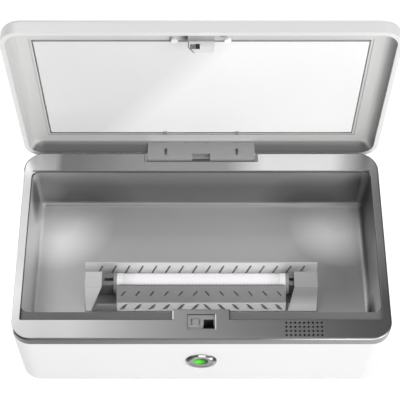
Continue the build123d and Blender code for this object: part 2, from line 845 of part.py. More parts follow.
# ---------------------------------------------------------------- lid_switch
lid_switch_z = deck_top - socket_height
lid_switch_width = 19.0
lid_switch_depth = 6.4
lid_switch_height = 7.0
terminal_pitch = 7.0
terminal_width = 3.0
terminal_thickness = 0.6
terminal_length = 4.0
with BuildPart() as lid_switch:
    with BuildSketch(Plane.XY.offset(lid_switch_z)):
        with Locations((0, socket_y)):
            Rectangle(lid_switch_width, lid_switch_depth)
    extrude(amount=-lid_switch_height)
    with BuildSketch(Plane.XY.offset(lid_switch_z - lid_switch_height)):
        with Locations((0, socket_y)):
            with GridLocations(terminal_pitch, 0, 3, 1):
                Rectangle(terminal_thickness, terminal_width)
    extrude(amount=-terminal_length)
lid_switch.part.label = "lid_switch"
export_step(lid_switch.part, "parts/lid_switch.step")

# ---------------------------------------------------------------- sounder
sounder_from_front = 4.2
sounder_width = 31.0
sounder_depth = 9.8
sounder_height = 5.0
with BuildPart() as sounder:
    with BuildSketch(Plane.XY.offset(deck_underside)):
        with Locations((grille_x, front_y + sounder_from_front)):
            Rectangle(sounder_width, sounder_depth, align=(Align.CENTER, Align.MIN))
    extrude(amount=-sounder_height)
sounder.part.label = "sounder"
export_step(sounder.part, "parts/sounder.step")

# ================================================================ power button
# ---------------------------------------------------------------- button_bezel
front_face = Plane(origin=(0, front_y, button_z), x_dir=(1, 0, 0), z_dir=(0, -1, 0))
bore_radius = button_radius + button_clearance
with BuildPart() as button_bezel:
    with BuildSketch(front_face):
        Circle(bezel_radius)
    extrude(amount=bezel_proud)
    chamfer(button_bezel.faces().sort_by(Axis.Y)[0].edges(), bezel_chamfer)
    with BuildSketch(front_face):
        Circle(barrel_radius)
    extrude(amount=-barrel_length)
    with BuildSketch(front_face.offset(bezel_proud)):
        Circle(bore_radius)
    extrude(amount=-barrel_length - bezel_proud, mode=Mode.SUBTRACT)
button_bezel.part.label = "button_bezel"
export_step(button_bezel.part, "parts/button_bezel.step")

# ---------------------------------------------------------------- power_button
button_set_back = 0.3
button_face = bezel_proud - button_set_back
stem_radius = 2.4
stem_length = 4.3
lens_depth = 1.5
with BuildPart() as power_button:
    with BuildSketch(Plane(origin=(0, front_y, button_z), x_dir=(1, 0, 0), z_dir=(0, 0, 1))):
        with BuildLine():
            Polyline(
                (0, lens_depth + button_dish - button_face),
                (lens_radius, lens_depth + button_dish - button_face),
                (lens_radius, button_dish - button_face),
                (button_radius, -button_face),
                (button_radius, button_thickness - button_face),
                (stem_radius, button_thickness - button_face),
                (stem_radius, button_thickness - button_face + stem_length),
                (0, button_thickness - button_face + stem_length),
                close=True,
            )
        make_face()
    revolve(axis=Axis((0, 0, button_z), (0, 1, 0)))
power_button.part.label = "power_button"
export_step(power_button.part, "parts/power_button.step")

# ---------------------------------------------------------------- button_lens
with BuildPart() as button_lens:
    with BuildSketch(front_face.offset(button_face - button_dish - lens_depth)):
        Circle(lens_radius)
    extrude(amount=lens_depth + lens_proud)
    chamfer(button_lens.faces().sort_by(Axis.Y)[0].edges(), lens_chamfer)
button_lens.part.label = "button_lens"
export_step(button_lens.part, "parts/button_lens.step")

# ---------------------------------------------------------------- button_nut
with BuildPart() as button_nut:
    with BuildSketch(front_face.offset(-wall)):
        RegularPolygon(nut_radius, 6)
        Circle(barrel_radius + running_clearance, mode=Mode.SUBTRACT)
    extrude(amount=-nut_thickness)
button_nut.part.label = "button_nut"
export_step(button_nut.part, "parts/button_nut.step")

# ---------------------------------------------------------------- switch_body
switch_start = 7.0
switch_length = 12.0
blade_pitch_x = 8.0
blade_pitch_z = 5.0
blade_width = 2.8
blade_thickness = 0.6
blade_length = 2.5
with BuildPart() as switch_body:
    with BuildSketch(front_face.offset(-switch_start)):
        Circle(button_radius)
    extrude(amount=-switch_length)
    with BuildSketch(front_face.offset(-switch_start)):
        Circle(stem_radius + button_clearance)
    extrude(amount=-stem_length, mode=Mode.SUBTRACT)
    with BuildSketch(front_face.offset(-switch_start - switch_length)):
        with GridLocations(blade_pitch_x, blade_pitch_z, 2, 2):
            Rectangle(blade_width, blade_thickness)
    extrude(amount=-blade_length)
switch_body.part.label = "switch_body"
export_step(switch_body.part, "parts/switch_body.step")


# ================================================================ electrics
# ---------------------------------------------------------------- control_board
board_hole_radius = 1.2
capacitor_radius = 4.5
capacitor_height = 13.0
relay_size = (15.0, 12.0)
relay_height = 8.0
connector_size = (22.0, 7.0)
connector_height = 6.0
coil_size = (22.0, 20.0)
coil_height = 16.0


def circuit_board(x, size):
    """A bare board on its standoffs, with the fixing holes that fall on it."""
    with BuildPart(mode=Mode.PRIVATE) as board:
        with BuildSketch(Plane.XY.offset(board_bottom)):
            with Locations((x, 0)):
                Rectangle(*size)
            with Locations(*board_holes):
                Circle(board_hole_radius, mode=Mode.SUBTRACT)
        extrude(amount=board_thickness)
    return board.part


with BuildPart() as control_board:
    add(circuit_board(control_x, control_size))
    with BuildSketch(Plane.XY.offset(board_top)):
        with Locations((control_x - control_size[0] / 5, control_size[1] / 8)):
            Circle(capacitor_radius)
    extrude(amount=capacitor_height)
    with BuildSketch(Plane.XY.offset(board_top)):
        with Locations((control_x + control_size[0] / 5, 0)):
            Rectangle(*relay_size)
    extrude(amount=relay_height)
    with BuildSketch(Plane.XY.offset(board_top)):
        with Locations((control_x - control_size[0] / 6, -control_size[1] / 4)):
            Rectangle(*connector_size)
    extrude(amount=connector_height)
control_board.part.label = "control_board"
export_step(control_board.part, "parts/control_board.step")

# ---------------------------------------------------------------- lamp_ballast
with BuildPart() as lamp_ballast:
    add(circuit_board(ballast_x, ballast_size))
    with BuildSketch(Plane.XY.offset(board_top)):
        with Locations((ballast_x, 0)):
            Rectangle(*coil_size)
    extrude(amount=coil_height)
    with BuildSketch(Plane.XY.offset(board_top)):
        with Locations((ballast_x + ballast_size[0] / 4, 0)):
            Circle(capacitor_radius)
    extrude(amount=capacitor_height)
    with BuildSketch(Plane.XY.offset(board_top)):
        with Locations((ballast_x - ballast_size[0] / 3, 0)):
            Rectangle(connector_size[1], connector_size[0])
    extrude(amount=connector_height)
lamp_ballast.part.label = "lamp_ballast"
export_step(lamp_ballast.part, "parts/lamp_ballast.step")

# ---------------------------------------------------------------- board_screws
board_screw_head_radius = 1.9
board_screw_head = 1.4
board_screw_length = 5.5
board_screw = cheese_screw(
    board_screw_head_radius, board_screw_head, standoff_bore - thread_clearance, board_screw_length
)
with BuildPart() as board_screws:
    with Locations(*[(x, y, board_top) for x, y in board_holes]):
        add(board_screw)
board_screws.part.label = "board_screws"
export_step(board_screws.part, "parts/board_screws.step")

# ---------------------------------------------------------------- dc_jack
rear_face = Plane(origin=(jack_x, rear_y, jack_z), x_dir=(-1, 0, 0), z_dir=(0, 1, 0))
jack_collar_radius = 5.5
jack_collar = 1.2
jack_length = 12.0
jack_bore = 2.8
jack_bore_depth = 10.0
jack_pin_radius = 1.0
jack_pin_length = 8.0
with BuildPart() as dc_jack:
    with BuildSketch(rear_face):
        Circle(jack_collar_radius)
    extrude(amount=jack_collar)
    with BuildSketch(rear_face):
        Circle(jack_radius)
    extrude(amount=-jack_length)
    with BuildSketch(rear_face.offset(jack_collar)):
        Circle(jack_bore)
    extrude(amount=-jack_bore_depth, mode=Mode.SUBTRACT)
    with BuildSketch(rear_face.offset(jack_collar - jack_bore_depth)):
        Circle(jack_pin_radius)
    extrude(amount=jack_pin_length)
dc_jack.part.label = "dc_jack"
export_step(dc_jack.part, "parts/dc_jack.step")

# ================================================================ hinge, base side
# ---------------------------------------------------------------- hinge_cradle
ear_inner = lug_width / 2 + ear_gap
ear_outer = ear_inner + ear_thickness
ear_top = deck_top - 1.2
ear_front_y = notch_front_y + 0.4
cradle_front_y = rear_y - wall - shelf_reach - 0.2
cradle_hole_radius = 1.5
with BuildPart() as hinge_cradle:
    with BuildSketch(Plane.XY.offset(cradle_bottom)):
        with Locations((0, cradle_front_y)):
            Rectangle(2 * ear_outer, rear_y - cradle_front_y, align=(Align.CENTER, Align.MIN))
    extrude(amount=cradle_floor)
    for side in (-1, 1):
        with BuildSketch(Plane.YZ.offset(side * ear_inner)):
            with BuildLine():
                Polyline(
                    (ear_front_y, cradle_bottom),
                    (ear_front_y, ear_top),
                    (rear_y, ear_top),
                    (rear_y, cradle_bottom),
                    close=True,
                )
            make_face()
            with Locations((hinge_y, hinge_z)):
                Circle(bush_radius, mode=Mode.SUBTRACT)
        extrude(amount=side * ear_thickness)
    with BuildSketch(Plane.XY.offset(cradle_top)):
        with Locations((-shelf_x, cradle_screw_y), (shelf_x, cradle_screw_y)):
            Circle(cradle_hole_radius)
    extrude(amount=-cradle_floor, mode=Mode.SUBTRACT)
hinge_cradle.part.label = "hinge_cradle"
export_step(hinge_cradle.part, "parts/hinge_cradle.step")

# ---------------------------------------------------------------- cradle_screws
cradle_screw_head_radius = 2.6
cradle_screw_head = 1.5
cradle_screw_length = 8.5
cradle_screw = cheese_screw(
    cradle_screw_head_radius, cradle_screw_head, pilot_radius - thread_clearance, cradle_screw_length
)
with BuildPart() as cradle_screws:
    with Locations((-shelf_x, cradle_screw_y, cradle_top), (shelf_x, cradle_screw_y, cradle_top)):
        add(cradle_screw)
cradle_screws.part.label = "cradle_screws"
export_step(cradle_screws.part, "parts/cradle_screws.step")

# ---------------------------------------------------------------- hinge_bushes
with BuildPart() as hinge_bushes:
    for side in (-1, 1):
        with BuildSketch(Plane.YZ.offset(side * ear_inner)):
            with Locations((hinge_y, hinge_z)):
                Circle(bush_radius)
                Circle(pin_shaft_radius + running_clearance, mode=Mode.SUBTRACT)
        extrude(amount=side * ear_thickness)
hinge_bushes.part.label = "hinge_bushes"
export_step(hinge_bushes.part, "parts/hinge_bushes.step")

# ================================================================ lid
# ---------------------------------------------------------------- lid_shell
lug_notch_margin = 0.5
lug_notch_height = hinge_drop + 1.2
lug_fit = 0.05
lug_notch_y = hinge_y - lug_radius - lug_fit
with BuildPart() as lid_shell:
    with BuildSketch(Plane.XY.offset(rim_z)):
        RectangleRounded(box_width, box_depth, corner_radius)
    extrude(amount=lid_height)
    fillet(lid_shell.faces().sort_by(Axis.Z)[-1].edges(), lid_edge_round)
    with BuildSketch(Plane.XY.offset(rim_z)):
        RectangleRounded(box_width - 2 * lid_lip, box_depth - 2 * lid_lip, corner_radius - lid_lip)
    extrude(amount=plate_z - rim_z, mode=Mode.SUBTRACT)
    with BuildSketch(Plane.XY.offset(rim_z)):
        with Locations((0, lug_notch_y)):
            Rectangle(lug_width + 2 * lug_notch_margin, box_depth, align=(Align.CENTER, Align.MIN))
    extrude(amount=lug_notch_height, mode=Mode.SUBTRACT)
open_lid_shell = swung_open(lid_shell.part)
open_lid_shell.label = "lid_shell"
export_step(open_lid_shell, "parts/lid_shell.step")

# ---------------------------------------------------------------- lid_liner
liner_outset = lid_lip + liner_clearance
rim_inset = liner_outset + liner_wall
recess_half = latch_plate_width / 2 + 0.3
liner_fit = 0.2
liner_notch_y = lug_notch_y - liner_fit
liner_notch_width = lug_width + 2 * liner_fit
recess_front_y = front_y + lid_lip
recess_length = 10.5
mirror_width = box_width - 2 * mirror_side
mirror_length = box_depth - mirror_front - mirror_rear
mirror_y = front_y + mirror_front + mirror_length / 2
step_margin = mirror_gap + mirror_step
hook_plate_y = front_y + lid_lip + liner_clearance
hook_plate_length = 16.7
latch_screw_y = hook_plate_y + hook_plate_length - latch_screw_inset
screw_shank = 1.0
latch_pilot_depth = frame_thickness - 0.2

with BuildPart(mode=Mode.PRIVATE) as lid_cavity:
    with BuildSketch(Plane.XY.offset(rim_z + liner_set_back)):
        RectangleRounded(box_width - 2 * rim_inset, box_depth - 2 * rim_inset, corner_radius - rim_inset)
    extrude(amount=frame_z - rim_z - liner_set_back, taper=liner_taper)
    fillet(lid_cavity.faces().sort_by(Axis.Z)[-1].edges(), liner_cove)

with BuildPart() as lid_liner:
    with BuildSketch(Plane.XY.offset(rim_z + liner_set_back)):
        RectangleRounded(
            box_width - 2 * liner_outset, box_depth - 2 * liner_outset, corner_radius - liner_outset
        )
    extrude(amount=plate_z - rim_z - liner_set_back)
    add(lid_cavity.part, mode=Mode.SUBTRACT)
    with BuildSketch(Plane.XY.offset(frame_z)):
        with Locations((0, mirror_y)):
            Rectangle(mirror_width + 2 * step_margin, mirror_length + 2 * step_margin)
    extrude(amount=mirror_step_depth, mode=Mode.SUBTRACT)
    with BuildSketch(Plane.XY.offset(frame_z)):
        with Locations((0, mirror_y)):
            Rectangle(mirror_width + 2 * mirror_gap, mirror_length + 2 * mirror_gap)
    extrude(amount=frame_thickness, mode=Mode.SUBTRACT)
    with BuildSketch(Plane.XY.offset(rim_z)):
        with Locations((0, recess_front_y)):
            Rectangle(2 * recess_half, recess_length, align=(Align.CENTER, Align.MIN))
    extrude(amount=frame_z - rim_z, mode=Mode.SUBTRACT)
    with BuildSketch(Plane.XY.offset(rim_z)):
        with Locations((0, liner_notch_y)):
            Rectangle(liner_notch_width, box_depth, align=(Align.CENTER, Align.MIN))
    extrude(amount=lid_height, mode=Mode.SUBTRACT)
    with BuildSketch(Plane.XY.offset(frame_z)):
        with Locations((-latch_screw_x, latch_screw_y), (latch_screw_x, latch_screw_y)):
            Circle(screw_shank)
    extrude(amount=latch_pilot_depth, mode=Mode.SUBTRACT)
open_lid_liner = swung_open(lid_liner.part)
open_lid_liner.label = "lid_liner"
export_step(open_lid_liner, "parts/lid_liner.step")

# ---------------------------------------------------------------- mirror
mirror_bevel = 0.4
with BuildPart() as mirror:
    with BuildSketch(Plane.XY.offset(plate_z - mirror_thickness)):
        with Locations((0, mirror_y)):
            Rectangle(mirror_width, mirror_length)
    extrude(amount=mirror_thickness)
    chamfer(mirror.faces().sort_by(Axis.Z)[0].edges(), mirror_bevel)
open_mirror = swung_open(mirror.part)
open_mirror.label = "mirror"
export_step(open_mirror, "parts/mirror.step")

# ---------------------------------------------------------------- mirror_clips
clip_thickness = 0.7
clip_end_gap = 0.2
clip_length = step_margin + clip_reach - clip_end_gap
mirror_face_z = plate_z - mirror_thickness
clip_y = mirror_y + mirror_length / 2 + step_margin - clip_end_gap - clip_length / 2
with BuildPart() as mirror_clips:
    with BuildSketch(Plane.XY.offset(mirror_face_z)):
        with Locations((-clip_x, clip_y), (clip_x, clip_y)):
            Rectangle(clip_width, clip_length)
    extrude(amount=-clip_thickness)
open_mirror_clips = swung_open(mirror_clips.part)
open_mirror_clips.label = "mirror_clips"
export_step(open_mirror_clips, "parts/mirror_clips.step")

# ---------------------------------------------------------------- latch_hook
blade_front_y = front_y + hook_from_front
blade_rear_y = blade_front_y + hook_thickness
blade_tip_z = rim_z - hook_reach
hook_x = hook_width / 2
window_x = -hook_x + hook_strap
window_z = blade_tip_z + hook_window_lift
with BuildPart() as latch_hook:
    with BuildSketch(Plane.XY.offset(frame_z)):
        with Locations((0, hook_plate_y)):
            Rectangle(latch_plate_width, hook_plate_length, align=(Align.CENTER, Align.MIN))
    extrude(amount=-latch_plate_thickness)
    with BuildSketch(Plane.XY.offset(frame_z)):
        with Locations((0, hook_plate_y)):
            Rectangle(hook_width, blade_rear_y - hook_plate_y, align=(Align.CENTER, Align.MIN))
    extrude(amount=-(frame_z - rim_z))
    with BuildSketch(Plane.XZ.offset(-blade_rear_y)):
        with BuildLine():
            Polyline(
                (-hook_x, rim_z),
                (-hook_x, blade_tip_z + hook_corner),
                (-hook_x + hook_corner, blade_tip_z),
                (hook_x - hook_tip_chamfer, blade_tip_z),
                (hook_x, blade_tip_z + hook_tip_chamfer),
                (hook_x, rim_z),
                close=True,
            )
        make_face()
        with Locations((window_x, window_z)):
            Rectangle(
                hook_window_width, hook_window_height, align=(Align.MIN, Align.MIN), mode=Mode.SUBTRACT
            )
    extrude(amount=hook_thickness)
    with BuildSketch(Plane.XY.offset(frame_z)):
        with Locations((-latch_screw_x, latch_screw_y), (latch_screw_x, latch_screw_y)):
            Circle(screw_shank + hole_clearance / 2)
    extrude(amount=-latch_plate_thickness, mode=Mode.SUBTRACT)
open_latch_hook = swung_open(latch_hook.part)
open_latch_hook.label = "latch_hook"
export_step(open_latch_hook, "parts/latch_hook.step")

# ---------------------------------------------------------------- latch_screws
latch_screw_head_radius = 2.5
latch_screw_head = 1.6
latch_screw_length = 3.0
latch_screw = cheese_screw(
    latch_screw_head_radius, latch_screw_head, screw_shank - thread_clearance, latch_screw_length
)
with BuildPart() as latch_screws:
    for x in (-latch_screw_x, latch_screw_x):
        seat = (x, latch_screw_y, frame_z - latch_plate_thickness)
        with Locations(Plane(origin=seat, x_dir=(1, 0, 0), z_dir=(0, 0, -1))):
            add(latch_screw)
open_latch_screws = swung_open(latch_screws.part)
open_latch_screws.label = "latch_screws"
export_step(open_latch_screws, "parts/latch_screws.step")

# ---------------------------------------------------------------- hinge_lug
lug_neck = 4.0
lug_shoulder = rim_z - hinge_z
lug_pocket_width = 14.0
lug_pocket_low = deck_top - 8.0
lug_pocket_high = deck_top - 2.0
lug_pocket_depth = 3.0
lug_slot_width = 2.2
lug_slot_height = 6.1
lug_slot_z = deck_top - 0.15
lug_foot_angle = 48.2
foot_dy = lug_radius * cos(radians(lug_foot_angle))
foot_dz = -lug_radius * sin(radians(lug_foot_angle))
with BuildPart() as hinge_lug:
    with BuildSketch(Plane.YZ.offset(-lug_width / 2)):
        with BuildLine():
            Polyline(
                (hinge_y + foot_dy, hinge_z + foot_dz),
                (hinge_y + hinge_inset, hinge_z + foot_dz),
                (hinge_y + hinge_inset, hinge_z + lug_shoulder),
                (hinge_y - lug_radius + lug_neck, hinge_z + lug_shoulder),
                (hinge_y - lug_radius + lug_neck, plate_z),
                (hinge_y - lug_radius, plate_z),
                (hinge_y - lug_radius, hinge_z),
            )
            ThreePointArc(
                (hinge_y - lug_radius, hinge_z),
                (hinge_y, hinge_z - lug_radius),
                (hinge_y + foot_dy, hinge_z + foot_dz),
            )
        make_face()
    extrude(amount=lug_width)
    with BuildSketch(Plane.XZ.offset(-(hinge_y - lug_radius))):
        with Locations((0, (lug_pocket_low + lug_pocket_high) / 2)):
            Rectangle(lug_pocket_width, lug_pocket_high - lug_pocket_low)
        with Locations((-clip_x, lug_slot_z), (clip_x, lug_slot_z)):
            Rectangle(lug_slot_width, lug_slot_height)
    extrude(amount=-lug_pocket_depth, mode=Mode.SUBTRACT)
    for side in (-1, 1):
        with BuildSketch(Plane.YZ.offset(side * lug_width / 2)):
            with Locations((hinge_y, hinge_z)):
                Circle(pin_shaft_radius)
        extrude(amount=-side * pin_engagement, mode=Mode.SUBTRACT)
open_hinge_lug = swung_open(hinge_lug.part)
open_hinge_lug.label = "hinge_lug"
export_step(open_hinge_lug, "parts/hinge_lug.step")

# ---------------------------------------------------------------- hinge_pins
pin_end_gap = 0.5
pin_shaft_length = pin_engagement - pin_end_gap + ear_gap + ear_thickness
with BuildPart() as hinge_pins:
    for side in (-1, 1):
        with BuildSketch(Plane.YZ.offset(side * (lug_width / 2 - pin_engagement + pin_end_gap))):
            with Locations((hinge_y, hinge_z)):
                Circle(pin_shaft_radius)
        extrude(amount=side * pin_shaft_length)
open_hinge_pins = swung_open(hinge_pins.part)
open_hinge_pins.label = "hinge_pins"
export_step(open_hinge_pins, "parts/hinge_pins.step")
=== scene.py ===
"""Looks of the UV sanitizer box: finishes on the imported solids, and the small pieces that only show.

Metres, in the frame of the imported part: +Z up, the front towards -Y, the origin under the middle of the tub.
"""
import math

import bmesh
import bpy
from mathutils import Matrix, Vector


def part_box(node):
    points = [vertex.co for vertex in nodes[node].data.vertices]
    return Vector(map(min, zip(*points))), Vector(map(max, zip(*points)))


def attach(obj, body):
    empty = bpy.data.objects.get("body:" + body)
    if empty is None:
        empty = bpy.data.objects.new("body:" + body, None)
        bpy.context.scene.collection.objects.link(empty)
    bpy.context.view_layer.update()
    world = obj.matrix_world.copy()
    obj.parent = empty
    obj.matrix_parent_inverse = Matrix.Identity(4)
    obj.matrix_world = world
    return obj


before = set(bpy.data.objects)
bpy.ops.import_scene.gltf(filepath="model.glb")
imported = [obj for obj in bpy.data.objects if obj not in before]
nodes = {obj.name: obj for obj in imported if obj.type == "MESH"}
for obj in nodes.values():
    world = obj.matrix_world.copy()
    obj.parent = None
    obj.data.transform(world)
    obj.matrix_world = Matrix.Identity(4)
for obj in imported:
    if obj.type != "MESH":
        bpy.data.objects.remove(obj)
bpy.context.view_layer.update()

MM = 0.001

BEVEL_SAMPLES = 4
EDGE_ROUNDING = 0.25 * MM
EDGE_WIDTH = 0.4 * MM
RELIEF_DEPTH = 0.05 * MM
MOULD_GRAIN_SCALE = 900.0
MOULD_CLOUD_SCALE = 22.0
MOULD_ROUGHNESS_SPREAD = 0.12
STREAK_STRETCH = (1.0, 30.0, 30.0)
STREAK_SCALE = 45.0
STREAK_SHARE = 0.6
SHEET_CLOUD_SCALE = 16.0
SHEET_CLOUD_SHARE = 0.4
SHEET_ROUGHNESS_SPREAD = 0.2
WEAR_PATCH_SCALE = 260.0


# ------------------------------------------------------------------ shader node helpers
def group_shell(name, inputs, outputs):
    """An empty shader node group with named sockets; returns the group, its input and its output node."""
    group = bpy.data.node_groups.new(name, "ShaderNodeTree")
    for socket_name, kind, value in inputs:
        socket = group.interface.new_socket(name=socket_name, in_out="INPUT", socket_type=kind)
        if value is not None:
            socket.default_value = value
    for socket_name, kind in outputs:
        group.interface.new_socket(name=socket_name, in_out="OUTPUT", socket_type=kind)
    return group, group.nodes.new("NodeGroupInput"), group.nodes.new("NodeGroupOutput")


def noise(tree, vector, scale, detail=3.0, roughness=0.5):
    """A noise texture on the given coordinates."""
    node = tree.nodes.new("ShaderNodeTexNoise")
    node.inputs["Scale"].default_value = scale
    node.inputs["Detail"].default_value = detail
    node.inputs["Roughness"].default_value = roughness
    tree.links.new(vector, node.inputs["Vector"])
    return node


def remap(tree, value, low, high, to_low=0.0, to_high=1.0):
    """A clamped Map Range of one value."""
    node = tree.nodes.new("ShaderNodeMapRange")
    node.inputs["From Min"].default_value = low
    node.inputs["From Max"].default_value = high
    node.inputs["To Min"].default_value = to_low
    node.inputs["To Max"].default_value = to_high
    tree.links.new(value, node.inputs["Value"])
    return node.outputs["Result"]


def math_node(tree, operation, first, second):
    """A Math node on two sockets or numbers."""
    node = tree.nodes.new("ShaderNodeMath")
    node.operation = operation
    for slot, value in enumerate((first, second)):
        if isinstance(value, (int, float)):
            node.inputs[slot].default_value = value
        else:
            tree.links.new(value, node.inputs[slot])
    return node.outputs["Value"]


def mix_color(tree, factor, first, second):
    """A colour mix; first and second are sockets or RGBA tuples."""
    node = tree.nodes.new("ShaderNodeMix")
    node.data_type = "RGBA"
    tree.links.new(factor, node.inputs["Factor"])
    for socket, value in ((node.inputs["A"], first), (node.inputs["B"], second)):
        if isinstance(value, tuple):
            socket.default_value = value
        else:
            tree.links.new(value, socket)
    return node.outputs["Result"]


def moulded_group():
    """Fine moulded texture: a colour with slight mottling, a roughness and a height."""
    group, inputs, outputs = group_shell(
        "Moulded",
        [("Color", "NodeSocketColor", None), ("Roughness", "NodeSocketFloat", 0.4),
         ("Mottle", "NodeSocketFloat", 0.03)],
        [("Color", "NodeSocketColor"), ("Roughness", "NodeSocketFloat"), ("Height", "NodeSocketFloat")],
    )
    coords = group.nodes.new("ShaderNodeTexCoord").outputs["Object"]
    fine = noise(group, coords, MOULD_GRAIN_SCALE, 4.0, 0.6).outputs["Fac"]
    broad = noise(group, coords, MOULD_CLOUD_SCALE, 2.0).outputs["Fac"]
    shade = math_node(group, "MULTIPLY", math_node(group, "SUBTRACT", broad, 0.5), inputs.outputs["Mottle"])
    bright = group.nodes.new("ShaderNodeHueSaturation")
    group.links.new(math_node(group, "ADD", shade, 1.0), bright.inputs["Value"])
    group.links.new(inputs.outputs["Color"], bright.inputs["Color"])
    group.links.new(bright.outputs["Color"], outputs.inputs["Color"])
    spread = math_node(group, "MULTIPLY", math_node(group, "SUBTRACT", fine, 0.5), MOULD_ROUGHNESS_SPREAD)
    rough = math_node(group, "ADD", inputs.outputs["Roughness"], spread)
    group.links.new(rough, outputs.inputs["Roughness"])
    group.links.new(fine, outputs.inputs["Height"])
    return group


def rolled_group():
    """Rolled sheet: long faint streaks along X, with a roughness and a height."""
    group, inputs, outputs = group_shell(
        "Rolled sheet",
        [("Color", "NodeSocketColor", None), ("Roughness", "NodeSocketFloat", 0.25),
         ("Streak", "NodeSocketFloat", 0.1)],
        [("Color", "NodeSocketColor"), ("Roughness", "NodeSocketFloat"), ("Height", "NodeSocketFloat")],
    )
    coords = group.nodes.new("ShaderNodeTexCoord").outputs["Object"]
    stretch = group.nodes.new("ShaderNodeMapping")
    stretch.inputs["Scale"].default_value = STREAK_STRETCH
    group.links.new(coords, stretch.inputs["Vector"])
    streak = noise(group, stretch.outputs["Vector"], STREAK_SCALE, 5.0, 0.65).outputs["Fac"]
    cloud = noise(group, coords, SHEET_CLOUD_SCALE, 2.0).outputs["Fac"]
    both = math_node(group, "ADD", math_node(group, "MULTIPLY", streak, STREAK_SHARE),
                     math_node(group, "MULTIPLY", cloud, SHEET_CLOUD_SHARE))
    centred = math_node(group, "SUBTRACT", both, 0.5)
    bright = group.nodes.new("ShaderNodeHueSaturation")
    lift = math_node(group, "ADD", math_node(group, "MULTIPLY", centred, inputs.outputs["Streak"]), 1.0)
    group.links.new(lift, bright.inputs["Value"])
    group.links.new(inputs.outputs["Color"], bright.inputs["Color"])
    group.links.new(bright.outputs["Color"], outputs.inputs["Color"])
    spread = math_node(group, "MULTIPLY", centred, SHEET_ROUGHNESS_SPREAD)
    rough = math_node(group, "ADD", inputs.outputs["Roughness"], spread)
    group.links.new(rough, outputs.inputs["Roughness"])
    group.links.new(streak, outputs.inputs["Height"])
    return group


def edge_group():
    """A mask that is 1 on sharp convex edges, broken up by noise."""
    group, inputs, outputs = group_shell(
        "Edge wear", [("Width", "NodeSocketFloat", EDGE_WIDTH)], [("Mask", "NodeSocketFloat")]
    )
    bevel = group.nodes.new("ShaderNodeBevel")
    bevel.samples = BEVEL_SAMPLES
    group.links.new(inputs.outputs["Width"], bevel.inputs["Radius"])
    plain = group.nodes.new("ShaderNodeNewGeometry").outputs["Normal"]
    dot = group.nodes.new("ShaderNodeVectorMath")
    dot.operation = "DOT_PRODUCT"
    group.links.new(bevel.outputs["Normal"], dot.inputs[0])
    group.links.new(plain, dot.inputs[1])
    edge = remap(group, dot.outputs["Value"], 0.98, 0.8)
    coords = group.nodes.new("ShaderNodeTexCoord").outputs["Object"]
    patches = remap(group, noise(group, coords, WEAR_PATCH_SCALE, 3.0).outputs["Fac"], 0.35, 0.6)
    group.links.new(math_node(group, "MULTIPLY", edge, patches), outputs.inputs["Mask"])
    return group


MOULDED = moulded_group()
ROLLED = rolled_group()
EDGE = edge_group()


def along(tree, direction):
    """How far a point lies along a direction, in Object coordinates."""
    dot = tree.nodes.new("ShaderNodeVectorMath")
    dot.operation = "DOT_PRODUCT"
    dot.inputs[1].default_value = direction
    tree.links.new(tree.nodes.new("ShaderNodeTexCoord").outputs["Object"], dot.inputs[0])
    return dot.outputs["Value"]


def away_from(tree, middle):
    """How far a point lies from a middle, in Object coordinates."""
    distance = tree.nodes.new("ShaderNodeVectorMath")
    distance.operation = "DISTANCE"
    distance.inputs[1].default_value = middle
    tree.links.new(tree.nodes.new("ShaderNodeTexCoord").outputs["Object"], distance.inputs[0])
    return distance.outputs["Value"]


# Most layers in this script are painted light and shade: fixed tones that stand in for shading, highlights and
# reflections.
def layered(tree, color, layers):
    """A colour with others laid over it in turn.

    A layer (direction, low, high, colour) comes in between low and high along a direction. A layer
    (middle, near, far, colour) whose middle is a Vector is full up to near from it and gone past far.
    In place of a colour a layer may have a pair: a colour and the layers over that one.
    """
    base = tree.nodes.new("ShaderNodeRGB")
    base.outputs["Color"].default_value = (*color, 1.0)
    result = base.outputs["Color"]
    for where, start, end, over in layers:
        cover = layered(tree, *over) if isinstance(over[0], tuple) else (*over, 1.0)
        if isinstance(where, Vector):
            result = mix_color(tree, remap(tree, away_from(tree, where), start, end), cover, result)
        else:
            result = mix_color(tree, remap(tree, along(tree, where), start, end), result, cover)
    return result


